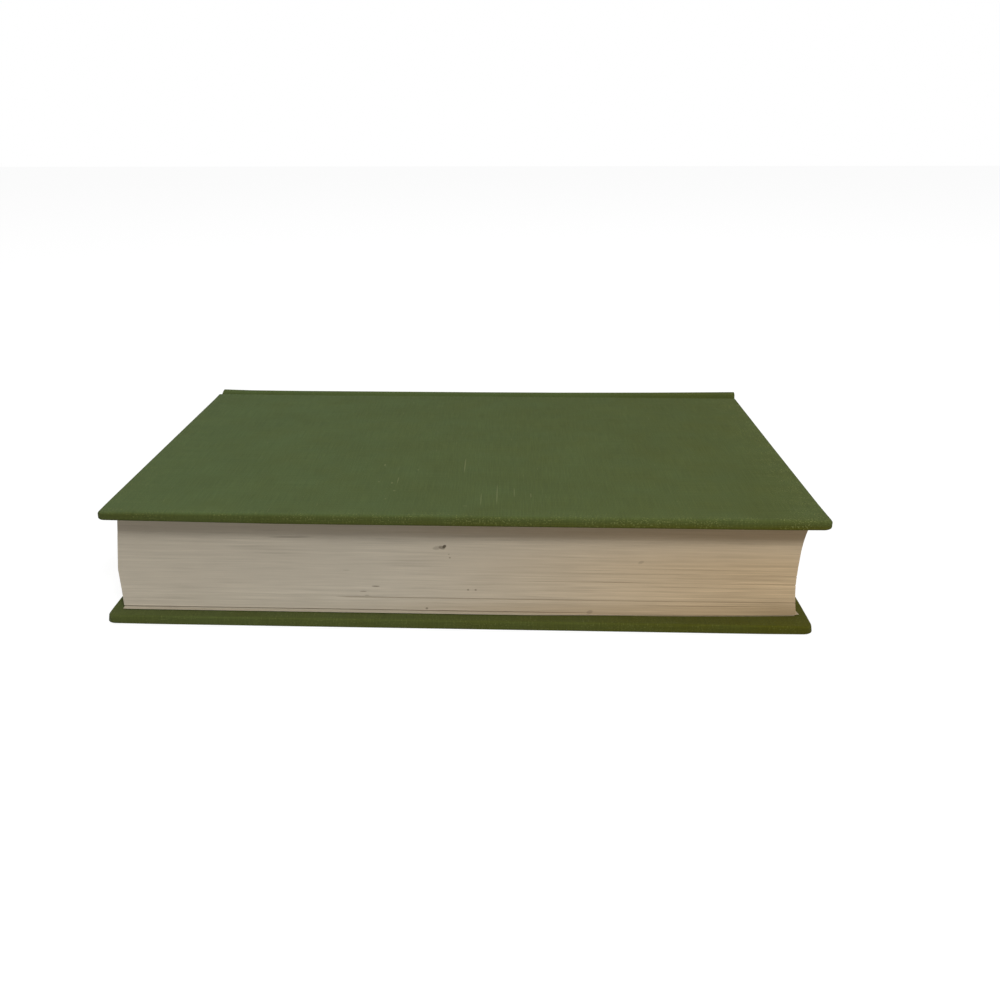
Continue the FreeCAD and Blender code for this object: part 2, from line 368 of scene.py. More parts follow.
@dataclass(frozen=True)
class LeafEdges:
    """Cut edges of several hundred leaves, sewn in sections."""

    pale: Triple = (188, 178, 160)
    # Warmer colour towards the tail and lower down: partly age yellowing, partly painted warm light.
    yellowed_and_warm_lit: Triple = (196, 171, 135)
    # Colour of the painted shade under the front cover, also used for the darker foot.
    shade_brown: Triple = (142, 112, 70)
    # Colour of the painted shade in the gaps between sections and in the slit.
    gap: Triple = (104, 88, 62)
    grime_and_shade: Triple = (84, 74, 60)
    leaves: int = 300

    def build(self) -> bpy.types.Material:
        """Make the material."""
        g = Graph("cut_leaf_edges")
        along, stack, _ = g.uv("leaf")
        x, y, z = g.place()
        wander = g.noise(g.vector(along / 34.0, stack * 5.0), 1.0, 2.0)
        level = wander * 0.035 + stack
        fine = g.noise(g.vector(along / 16.0, level * (self.leaves * 0.8)), 1.0, 2.0)
        broad = g.noise(g.vector(along / 38.0, level * 40.0, 3.0), 1.0, 3.0)
        cloud = g.noise(g.vector(x * 0.4, y, z), 0.16, 4.0)
        patch = g.noise(g.vector(along / 26.0, stack * 4.0, 7.0), 1.0, 2.0)
        tail = g.span(x, -40.0, 110.0)
        seam = g.attribute("seam")
        lower = g.span(stack, 0.75, 0.45) * tail
        strength = lower * 0.38 + g.span(patch, 0.38, 0.62, 0.14, 0.55)
        swing = (broad - 0.5) * strength
        # Lighter and warmer towards the tail: partly age yellowing, partly painted warm light from the right.
        tone = fine * 0.32 + cloud * 0.14 + swing + (tail - lower) * 0.035 + 0.775
        yellowed_and_warm_lit = lower * 0.25 + tail * 0.75
        paint = g.shade(g.mix(yellowed_and_warm_lit, colour(*self.pale), colour(*self.yellowed_and_warm_lit)), tone)
        # Painted shade: a brownish darkening at the top of the stack under the front cover's overhang,
        # stronger towards the tail; and a darker foot towards the tail.
        cover_shade_share = tail * 0.12 + g.span(x, -80.0, 20.0, 0.14, 0.3)
        under = g.span(stack, 0.74, 0.85) * cover_shade_share
        foot = g.span(stack, 0.15, 0.03) * g.span(x, -60.0, 30.0, 0.0, 0.24)
        under = g.math("MAXIMUM", under, foot)
        paint = g.mix(under, paint, colour(*self.shade_brown))
        # Painted shade in the gaps between sections and in the slit over the last leaf.
        paint = g.mix(seam * 0.58, paint, colour(*self.gap))
        height = fine * 0.6 + broad * 0.5
        return g.finish(self.soil(g, paint, x, y, z), 0.85, height, 0.08, specular=0.25)

    def soil(self, g: Graph, paint: Value, x: Value, y: Value, z: Value) -> Value:
        """Add the small marks on the fore edge."""
        fore = g.span(y, -62.0, -66.0)
        marks = (
            (-4.6, 24.6, 0.75, 0.7, 0.3, 0.95),
            (-5.4, 24.2, 1.2, 0.75, -0.2, 0.6),
            (-7.0, 24.0, 1.6, 0.8, 0.1, 0.3),
            (-26.6, 10.9, 1.6, 0.24, 0.0, 0.6),
            (-30.6, 9.2, 1.3, 0.22, 0.0, 0.4),
            (-29.4, 8.0, 0.9, 0.2, 0.0, 0.3),
            (-36.0, 16.0, 1.4, 0.2, 0.0, 0.2),
            (-2.9, 20.7, 0.4, 0.3, 0.0, 0.5),
            (-3.2, 21.9, 0.3, 0.25, 0.0, 0.35),
            (2.9, 10.2, 0.45, 0.35, 0.0, 0.5),
            (5.3, 10.2, 0.45, 0.35, 0.0, 0.5),
            (-10.2, 4.3, 0.5, 0.35, 0.0, 0.6),
            (57.2, 20.0, 1.1, 0.6, 0.3, 0.22),
            (41.5, 3.9, 1.2, 0.7, 0.2, 0.3),
            (45.6, 3.0, 0.5, 0.35, 0.0, 0.5),
            (-53.0, 27.3, 8.5, 0.35, 0.015, 0.35),
        )
        for across, up, wide, high, slant, strength in marks:
            spot = g.spot(x, z, (across, up), (wide, high), slant)
            share = spot * strength * fore
            paint = g.mix(share, paint, colour(*self.grime_and_shade))
        return paint


@dataclass(frozen=True)
class PlainPaper:
    """Uncoated paper with soft fibres, for endpapers and the spine's lining."""

    name: str = "endpaper_sheet"
    tint: Triple = (198, 190, 172)
    fleck: Triple = (170, 156, 130)
    aged: Triple = (168, 146, 108)
    depth: float = 0.03

    def build(self) -> bpy.types.Material:
        """Make the material."""
        g = Graph(self.name)
        u, v, _ = g.uv("sheet")
        cloud = g.noise(g.vector(u, v), 0.02, 3.0)
        fibre = g.noise(g.vector(u * 2.2, v), 1.4, 4.0)
        foxing = g.span(g.noise(g.vector(u, v, 5.0), 0.16, 2.0), 0.7, 0.78)
        tone = fibre * 0.12 + (cloud * 0.12 + 0.88)
        paint = g.shade(colour(*self.tint), tone)
        paint = g.mix(foxing * 0.35, paint, colour(*self.fleck))
        edge = g.math("MAXIMUM", g.span(v, -62.0, -71.0, 0.0, 0.7), g.span(abs(u), 99.0, 107.0, 0.0, 0.7))
        paint = g.mix(edge * g.span(u, -20.0, 70.0, 0.4, 1.0), paint, colour(*self.aged))
        return g.finish(paint, 0.85, fibre, self.depth, specular=0.25)


@dataclass(frozen=True)
class HiddenStuff:
    """Board, open-weave cloth or strong paper inside the case, patterned by place or by a UV map."""

    name: str
    tint: Triple
    dark: Triple
    pitch: float
    depth: float
    chart: str = ""

    def build(self) -> bpy.types.Material:
        """Make the material."""
        g = Graph(self.name)
        x, y, z = g.uv(self.chart) if self.chart else g.place()
        across = abs(g.math("SINE", x * (math.pi / self.pitch)))
        around = (y + z) * (math.pi / self.pitch)
        weave = g.math("MAXIMUM", across, abs(g.math("SINE", around)))
        fibre = g.noise(g.vector(x, y, z), 1.1, 4.0)
        share = g.math("MULTIPLY_ADD", weave, -0.5, fibre * 0.5 + 0.5, clamp=True)
        paint = g.mix(share, colour(*self.tint), colour(*self.dark))
        return g.finish(paint, 0.9, weave + fibre, self.depth, specular=0.2)


@dataclass(frozen=True)
class BandThread:
    """Silk thread wound round the core of an end band."""

    light: Triple = (206, 196, 168)
    dark: Triple = (104, 116, 70)
    pitch: float = 0.26

    def build(self) -> bpy.types.Material:
        """Make the material."""
        g = Graph("end_band_thread")
        u, v, _ = g.uv("thread")
        fibre = g.noise(g.vector(u * 5.0, v * 0.7), 1.5, 3.0)
        share = g.math("FRACT", u / 2.6)
        stripe = g.span(abs(share - 0.5), 0.27, 0.23)
        paint = g.mix(stripe, colour(*self.light), colour(*self.dark))
        turns = abs(g.math("SINE", u * (math.pi / self.pitch)))
        paint = g.shade(paint, fibre * 0.25 + (turns * 0.25 + 0.65))
        return g.finish(paint, 0.6, fibre * 0.3 + turns, 0.08, sheen=0.2, specular=0.35)


class Workpiece:
    """One mesh on the bench, shaped in millimetres."""

    def __init__(self, name: str) -> None:
        """Take the primitive that was just added."""
        self.obj = bpy.context.object
        self.obj.name = name
        self.obj.data.name = name
        bpy.ops.object.transform_apply(location=True, rotation=True, scale=True)

    @classmethod
    def block(cls, name: str, low: Sequence[float], high: Sequence[float]) -> "Workpiece":
        """Start from a block between two corners."""
        middle = [(a + b) / 2 for a, b in zip(low, high)]
        size = [abs(b - a) for a, b in zip(low, high)]
        bpy.ops.mesh.primitive_cube_add(size=1, location=middle, scale=size)
        return cls(name)

    @classmethod
    def sheet(cls, name: str, columns: int, rows: int) -> "Workpiece":
        """Start from a flat sheet one unit square, with its low corner at the origin."""
        bpy.ops.mesh.primitive_grid_add(
            x_subdivisions=columns, y_subdivisions=rows, size=1, location=(0.5, 0.5, 0)
        )
        return cls(name)

    @classmethod
    def rod(cls, name: str, radius: float) -> "Workpiece":
        """Start from an upright rod one unit long, with its foot at the origin."""
        bpy.ops.mesh.primitive_cylinder_add(vertices=20, radius=radius, depth=1, location=(0, 0, 0.5))
        return cls(name)

    def edit(self, picked: bool = False) -> bmesh.types.BMesh:
        """Enter edit mode with everything selected, or nothing."""
        bpy.context.view_layer.objects.active = self.obj
        bpy.ops.object.mode_set(mode="EDIT")
        bpy.ops.mesh.select_all(action="SELECT" if picked else "DESELECT")
        return bmesh.from_edit_mesh(self.obj.data)

    def done(self) -> None:
        """Leave edit mode."""
        bpy.ops.object.mode_set(mode="OBJECT")

    def pick_faces(self, test: Callable[[Vector, Vector], bool]) -> None:
        """Select faces by their middle and normal."""
        mesh = self.edit()
        bpy.ops.mesh.select_mode(type="FACE")
        for face in mesh.faces:
            face.select_set(test(face.calc_center_median(), face.normal))
        bmesh.update_edit_mesh(self.obj.data)

    def pick_edges(self, test: Callable[[Vector, Vector], bool]) -> None:
        """Select edges by their middle and direction."""
        mesh = self.edit()
        bpy.ops.mesh.select_mode(type="EDGE")
        for edge in mesh.edges:
            first, second = edge.verts
            way = (second.co - first.co).normalized()
            edge.select_set(test((first.co + second.co) / 2, way))
        bmesh.update_edit_mesh(self.obj.data)

    def bevel(self, width: float, segments: int) -> None:
        """Round the selected edges."""
        bpy.ops.mesh.bevel(offset=width, segments=segments, affect="EDGES", clamp_overlap=False)
        self.done()

    def cut(self, axis: int, places: Sequence[float]) -> None:
        """Cut edges into the selected faces, or into all if none is, square to an axis."""
        for place in places:
            normal = Vector([float(index == axis) for index in range(3)])
            bpy.ops.mesh.bisect(plane_co=normal * place, plane_no=normal, threshold=0.0001)
            bpy.ops.mesh.select_all(action="SELECT")
        self.done()

    def cut_all(self, axis: int, places: Sequence[float]) -> None:
        """Cut edges all round the piece, square to an axis."""
        self.edit(picked=True)
        self.cut(axis, places)

    def pull(self, way: Sequence[float], steps: int) -> None:
        """Pull the selected faces out in equal steps."""
        for _ in range(steps):
            bpy.ops.mesh.extrude_region_move(TRANSFORM_OT_translate={"value": [w / steps for w in way]})
        self.done()

    def remove_faces(self) -> None:
        """Delete the selected faces."""
        bpy.ops.mesh.delete(type="FACE")
        self.done()

    def points(self) -> np.ndarray:
        """Places of all points, one row each."""
        places = np.empty(len(self.obj.data.vertices) * 3)
        self.obj.data.vertices.foreach_get("co", places)
        return places.reshape(-1, 3)

    def form(self, shape: Callable[[np.ndarray], np.ndarray]) -> None:
        """Move all points at once."""
        self.obj.data.vertices.foreach_set("co", shape(self.points()).ravel())
        self.obj.data.update()

    def map(self, name: str, chart: Callable[[np.ndarray, np.ndarray, np.ndarray], np.ndarray]) -> None:
        """Lay a UV map from each corner's place, its face's middle and its face's normal."""
        mesh = self.obj.data
        layer = mesh.uv_layers.get(name) or mesh.uv_layers.new(name=name)
        counts = [face.loop_total for face in mesh.polygons]
        middles = np.repeat([tuple(face.center) for face in mesh.polygons], counts, axis=0)
        normals = np.repeat([tuple(face.normal) for face in mesh.polygons], counts, axis=0)
        layer.data.foreach_set("uv", chart(self.points()[self.corners()], middles, normals).ravel())

    def corners(self) -> np.ndarray:
        """The point at each corner of each face."""
        return np.array([loop.vertex_index for loop in self.obj.data.loops])

    def paint(self, name: str, rule: Callable[[np.ndarray], np.ndarray]) -> None:
        """Keep a number at each point, from its place."""
        mesh = self.obj.data
        layer = mesh.attributes.get(name) or mesh.attributes.new(name, "FLOAT", "POINT")
        layer.data.foreach_set("value", rule(self.points()))

    def face_out(self) -> None:
        """Turn all faces outwards."""
        self.edit(picked=True)
        bpy.ops.mesh.normals_make_consistent(inside=False)
        self.done()

    def flip(self) -> None:
        """Turn all faces over."""
        self.edit(picked=True)
        bpy.ops.mesh.flip_normals()
        self.done()

    def thicken(self, thickness: float) -> None:
        """Give a skin its thickness, inwards."""
        wall = self.obj.modifiers.new("wall", "SOLIDIFY")
        wall.thickness = thickness
        wall.offset = -1.0
        wall.use_even_offset = True
        bpy.ops.object.modifier_apply(modifier=wall.name)

    def hand_over(self, material: bpy.types.Material, slot: Slot, *nodes: str) -> bpy.types.Object:
        """Bring the piece to metres, dress it and let it stand for solids."""
        self.obj.data.transform(Matrix.Scale(MM, 4))
        self.obj.data.materials.clear()
        self.obj.data.materials.append(material)
        bpy.ops.object.select_all(action="DESELECT")
        self.obj.select_set(True)
        bpy.context.view_layer.objects.active = self.obj
        bpy.ops.object.shade_smooth_by_angle(angle=math.radians(38))
        if nodes:
            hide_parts(*nodes)
        LOG.info("%s: %d faces", self.obj.name, len(self.obj.data.polygons))
        return self.obj


@dataclass(frozen=True)
class Build:
    """Driving sizes of the binding that the solids' boxes don't give."""

    cloth: float = 0.3
    sheet: float = 0.15
    sheet_gap: float = 0.05
    mull: float = 0.3
    turn_in: float = 15.0
    groove_floor: float = 1.5
    ridge_reach: float = 4.4
    ridge_radius: float = 1.8
    shoulder_tuck: float = 4.0
    corner_radius: float = 2.0
    worn_corner_radius: float = 2.6
    rim_radius: float = 1.05
    inner_rim_radius: float = 0.7
    base_rim_radius: float = 0.3
    inlay: float = 0.7
    inlay_margin: float = 1.2
    bend_start: float = 1.3
    floor_steps: int = 5
    wall_steps: int = 8

    @property
    def strip(self) -> list[float]:
        """Where the strip that bends is cut across: distances from the groove's front wall."""
        floor = [self.groove_floor * step / self.floor_steps for step in range(self.floor_steps + 1)]
        wall = [self.bend_start * step / self.wall_steps for step in range(1, self.wall_steps + 1)]
        return floor + [self.groove_floor + rise for rise in wall]

    @property
    def hinge_stack(self) -> float:
        """Two leaves of an endpaper and the gap between them."""
        return 2 * self.sheet + self.sheet_gap

    @property
    def mull_stack(self) -> float:
        """Endpaper and mull."""
        return self.hinge_stack + self.mull

    @property
    def cloth_stack(self) -> float:
        """Endpaper, mull and cloth."""
        return self.mull_stack + self.cloth


@dataclass(frozen=True)
class Shoulder:
    """One shoulder of the leaves' back, and the ridge of cloth over it."""

    build: Build
    side: Side
    leaf_z: float
    root_y: float
    tip_z: float

    @property
    def tip_y(self) -> float:
        """Place of the ridge's centre."""
        return self.root_y + self.build.ridge_reach

    @property
    def radius(self) -> float:
        """Radius of the outermost leaf's bend."""
        rise = abs(self.tip_z - self.leaf_z)
        wrap = self.build.ridge_radius - self.build.cloth_stack
        return (self.build.ridge_reach**2 + rise**2 - wrap**2) / (2 * (wrap + rise))

    @property
    def centre_z(self) -> float:
        """Height of the bend's centre."""
        return self.leaf_z + self.side.value * self.radius

    @property
    def case_turn(self) -> float:
        """Angle at which the bend meets the ridge, in radians."""
        return math.atan2(self.build.ridge_reach, self.side.value * (self.centre_z - self.tip_z))

    @property
    def leaf_turn(self) -> float:
        """Angle at which the leaves' bend ends, in radians."""
        return self.case_turn - math.radians(self.build.shoulder_tuck)

    def level(self, offset: float) -> float:
        """A height at an offset out from the outermost leaf."""
        return self.leaf_z + self.side.value * offset

    def wrap(self, places: np.ndarray) -> np.ndarray:
        """Bend what lies flat beyond the root along the shoulder.

        Args:
            places: points of the flat layers, one row each.

        Returns:
            The points, with those behind the root bent round the shoulder's centre.
        """
        beyond = np.maximum(places[:, 1] - self.root_y, 0.0)
        offset = (places[:, 2] - self.leaf_z) * self.side.value
        turn = beyond / (self.radius - self.build.cloth_stack)
        reach = self.radius - offset
        bent = places.copy()
        behind = beyond > 0
        bent[behind, 1] = self.root_y + (reach * np.sin(turn))[behind]
        bent[behind, 2] = self.centre_z - self.side.value * (reach * np.cos(turn))[behind]
        return bent

    def lay_sheet(self, piece: Workpiece, lay: Callable[[np.ndarray], np.ndarray]) -> None:
        """Lay a sheet flat, chart it there, and bend it round the shoulder."""
        piece.form(lay)
        piece.map("sheet", as_laid)
        piece.form(self.wrap)


class Binding:
    """Places that all the book's parts share, read from the solids' boxes."""

    def __init__(self, build: Build) -> None:
        """Work the shared places out."""
        self.build = build
        self.leaf_high = node_box("text_block")[1]
        self.covers = {side: node_box(side.word + "_cover_cloth") for side in Side}
        self.spine_low, self.spine_high = node_box("spine_cloth")
        self.root_y = self.covers[Side.FRONT][1].y
        self.leaves_top = self.covers[Side.FRONT][0].z - build.hinge_stack
        self.leaves_base = self.covers[Side.BACK][1].z + build.hinge_stack
        ridge_top = self.spine_high.z
        ridge_base = self.spine_low.z
        radius = build.ridge_radius
        self.shoulders = {
            Side.FRONT: Shoulder(build, Side.FRONT, self.leaves_top, self.root_y, ridge_top - radius),
            Side.BACK: Shoulder(build, Side.BACK, self.leaves_base, self.root_y, ridge_base + radius),
        }
        self.spine_middle = (ridge_top + ridge_base) / 2
        self.half_height = ridge_top - radius - self.spine_middle
        gap = self.spine_high.y - self.shoulders[Side.FRONT].tip_y
        self.case_radius = (gap**2 + self.half_height**2 - radius**2) / (2 * (gap - radius))
        self.case_y = self.spine_high.y - self.case_radius

    def bend(self, piece: bpy.types.Object, side: Side) -> None:
        """Bake a piece's transform into its mesh; the bend from the block to a cover, between the ridge's
        wall and the board, is worked out but not applied.
        """
        shoulder = self.shoulders[side]
        groove = shoulder.level(self.build.cloth_stack) * MM
        start = (0, (self.root_y + self.build.bend_start) * MM, groove)
        end = (0, (self.root_y - self.build.groove_floor) * MM, groove)
        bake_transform(piece)


@dataclass
class CoverCloth:
    """The cloth over one board, turned in on three sides and laid into the groove."""

    binding: Binding
    side: Side
    cross_cuts: int = 44
    fore_swell: float = 0.35
    tail_swell: float = 0.45
    head_swell: float = 0.3
    slack: float = 0.3
    corner_flare: float = 0.65
    flare_reach: float = 12.0
    blunting: float = 0.18
    corner_lean: float = 0.6
    groove_draw: float = 0.8
    back_lift: float = 0.35
    fore_lip: float = 0.42

    def make(self, material: bpy.types.Material) -> None:
        """Build and dress the cloth."""
        build = self.binding.build
        shoulder = self.binding.shoulders[self.side]
        self.low, self.high = self.binding.covers[self.side]
        wall_y = self.binding.root_y - build.groove_floor
        inner = shoulder.level(build.hinge_stack)
        self.outer = self.high.z if self.side is Side.FRONT else self.low.z
        name = self.side.word + "_cloth"
        piece = Workpiece.block(name, self.low, (self.high.x, wall_y, self.high.z))
        fore = self.low.y
        piece.pick_edges(lambda at, way: abs(way.z) > 0.9 and at.y < fore + NEAR)
        piece.bevel(build.corner_radius if self.side is Side.FRONT else build.worn_corner_radius, 6)
        piece.pick_edges(lambda at, way: abs(way.z) < 0.1 and abs(at.z - self.outer) < NEAR)
        piece.bevel(build.rim_radius if self.side is Side.FRONT else build.base_rim_radius, 5)
        piece.pick_edges(
            lambda at, way: abs(way.z) < 0.1 and abs(at.z - inner) < NEAR and at.y < wall_y - NEAR
        )
        piece.bevel(build.inner_rim_radius, 5)
        self.lay_groove(piece, wall_y, shoulder)
        self.cut_window(piece, shoulder)
        piece.map("weave", self.chart)
        piece.form(shoulder.wrap)
        piece.form(self.swell)
        piece.face_out()
        piece.thicken(build.cloth)
        piece.paint("wear_and_light", self.wear_and_light)
        piece.paint("olive_and_warm_light", self.olive_and_warm_light)
        piece.paint("grime_and_shade", self.grime_and_shade)
        cloth = piece.hand_over(material, Slot.CLOTH, self.side.word + "_cover_cloth")
        self.binding.bend(cloth, self.side)

    def lay_groove(self, piece: Workpiece, wall_y: float, shoulder: Shoulder) -> None:
        """Carry the cloth from the board's back edge over the groove's floor to the ridge's wall."""
        build = self.binding.build
        floor = shoulder.level(build.cloth_stack)
        inner = shoulder.level(build.hinge_stack)
        piece.pick_faces(lambda at, way: way.y > 0.9 and at.y > wall_y - NEAR)
        piece.cut(2, [floor])
        low, high = sorted((floor, inner))
        piece.pick_faces(lambda at, way: way.y > 0.9 and at.y > wall_y - NEAR and low < at.z < high)
        piece.pull((0, build.groove_floor, 0), build.floor_steps)
        piece.pick_faces(lambda at, way: way.y > 0.9 and at.y > self.binding.root_y - NEAR)
        piece.pull((0, build.bend_start, 0), build.wall_steps)
        end_y = self.binding.root_y + build.bend_start
        piece.pick_faces(lambda at, way: way.y > 0.9 and at.y > end_y - NEAR)
        piece.remove_faces()

    def cut_window(self, piece: Workpiece, shoulder: Shoulder) -> None:
        """Open the inside between the turned-in edges, and cut the skin finely enough to bend."""
        build = self.binding.build
        inner = shoulder.level(build.hinge_stack)
        left = self.low.x + build.turn_in
        right = self.high.x - build.turn_in
        front = self.low.y + build.turn_in
        step = (right - left) / (self.cross_cuts - 6)
        places = [left + step * i for i in range(self.cross_cuts - 5)]
        piece.cut_all(0, places)
        rear = self.binding.root_y - build.groove_floor - 8.0
        piece.cut_all(1, [self.low.y + 3.4, self.low.y + 7.0, front, (front + rear) / 2, rear])
        piece.pick_faces(
            lambda at, way: abs(way.z) > 0.9
            and abs(at.z - inner) < NEAR
            and left < at.x < right
            and at.y > front
        )
        piece.remove_faces()

    def swell(self, places: np.ndarray) -> np.ndarray:
        """Let the cloth stand a little proud of the board's edges, with blunt fore corners."""
        moved = places.copy()
        x, y, z = places.T
        fore = held((self.low.y + 4 - y) / 4)
        tail = held((x - self.high.x + 4) / 4)
        head = held((self.low.x + 4 - x) / 4)
        corner = self.corner_flare * np.exp((self.low.y - y) / self.flare_reach)
        upper = 1.0 if self.side is Side.FRONT else 0.0
        moved[:, 0] += tail * (self.tail_swell + upper * (corner + self.slack))
        moved[:, 0] -= head * self.head_swell * (0.4 + 0.6 * upper)
        moved[:, 1] -= fore * self.fore_swell
        middle = (self.low.z + self.high.z) / 2
        lean = self.corner_lean * (1 - upper) * np.exp((self.low.y - y) / 6.0) * np.sign(x)
        moved[:, 0] -= lean * np.maximum(head, tail) * (z - middle) / (self.high.z - self.low.z)
        beside = np.minimum(np.abs(x - self.low.x), np.abs(self.high.x - x))
        blunt = self.blunting * np.exp(-np.hypot(beside, y - self.low.y) / 3.0)
        moved[:, 2] = middle + (z - middle) * (1 - blunt)
        rear = self.binding.root_y - self.binding.build.groove_floor
        drawn = 0.3 * held((y - rear + 10) / 10) + self.groove_draw * held((y - rear) / 1.2)
        moved[:, 0] += head * upper * drawn
        lift = held((-60.0 - x) / 45.0) * held((y - rear + 8.0) / 8.0) * (y < rear + NEAR)
        moved[:, 2] += upper * self.back_lift * lift * held((z - middle) / 1.2)
        lip = held((self.low.y + 3.6 - y) / 3.4) * held((x + 95.0) / 40.0)
        moved[:, 2] -= upper * self.fore_lip * lip * held((middle - z) / 0.8)
        return moved

    def chart(self, places: np.ndarray, middles: np.ndarray, normals: np.ndarray) -> np.ndarray:
        """Unfold the cloth: what is turned down or in carries on past the edge it folds over."""
        down = np.abs(self.outer - places[:, 2])
        tall = self.high.z - self.low.z
        flat = places[:, :2].copy()
        middle_x = (self.low.x + self.high.x) / 2
        end_wall = (np.abs(normals[:, 0]) > np.abs(normals[:, 1])) & (np.abs(normals[:, 2]) < 0.97)
        side_wall = ~end_wall & (np.abs(normals[:, 2]) < 0.97)
        flat[end_wall, 0] += (np.sign(middles[:, 0] - middle_x) * down)[end_wall]
        flat[side_wall, 1] += (np.sign(middles[:, 1]) * down)[side_wall]
        turned = np.abs(middles[:, 2] - self.outer) > tall - NEAR
        flat[turned, 1] = -flat[turned, 1] + 300.0
        return flat

    def wear_and_light(self, places: np.ndarray) -> np.ndarray:
        """How rubbed the cloth is: most along the rims of the front cover; on the front cover also more
        towards the tail and on the fore face, as painted light from the right.
        """
        beside = np.minimum(places[:, 0] - self.low.x, self.high.x - places[:, 0])
        front = places[:, 1] - self.low.y
        above = self.high.z - places[:, 2]
        gaps = np.sort(np.abs(np.stack([beside, front, above])), axis=0)
        rubbed = held(1.4 - np.hypot(gaps[0], gaps[1]) / 2.6)
        towards_tail = held((places[:, 0] + 60) / 130)
        if self.side is Side.BACK:
            return 0.24 + 0.1 * rubbed
        # Painted light: more rubbed flecks on the fore face towards the tail.
        face = 0.35 * self.fore(places) * self.tailwards(places) ** 2
        return held(rubbed * (0.55 + 0.45 * towards_tail) + face)

    def olive_and_warm_light(self, places: np.ndarray) -> np.ndarray:
        """How yellowish the cloth is: on the back cover and the front cover's top, more towards the tail,
        partly fading with age and partly painted warm light from the right; on the front cover's fore edge
        also painted shade, strongest at the head.
        """
        along = self.tailwards(places)
        if self.side is Side.BACK:
            return 0.46 + 0.54 * along * along
        lip = held((self.low.z + 1.2 - places[:, 2]) / 0.8) * along
        at_fore = 0.63 - 0.62 * along + 0.12 * along * along + 0.5 * lip
        return held(0.36 * along + self.fore(places) * at_fore)

    def grime_and_shade(self, places: np.ndarray) -> np.ndarray:
        """Painted shade: the front cover's fore edge darker, more towards the head."""
        along = self.tailwards(places)
        share = 0.24 * (1 - along) * self.fore(places)
        return share if self.side is Side.FRONT else np.zeros(len(places))

    def tailwards(self, places: np.ndarray) -> np.ndarray:
        """0 near the cover's head, 1 near its tail."""
        return held((places[:, 0] + 100) / 200)

    def fore(self, places: np.ndarray) -> np.ndarray:
        """1 on the fore edge, 0 on the cover's faces."""
        below = held((self.high.z - places[:, 2]) / 0.7)
        return held((self.low.y + 12 - places[:, 1]) / 8.0) * below


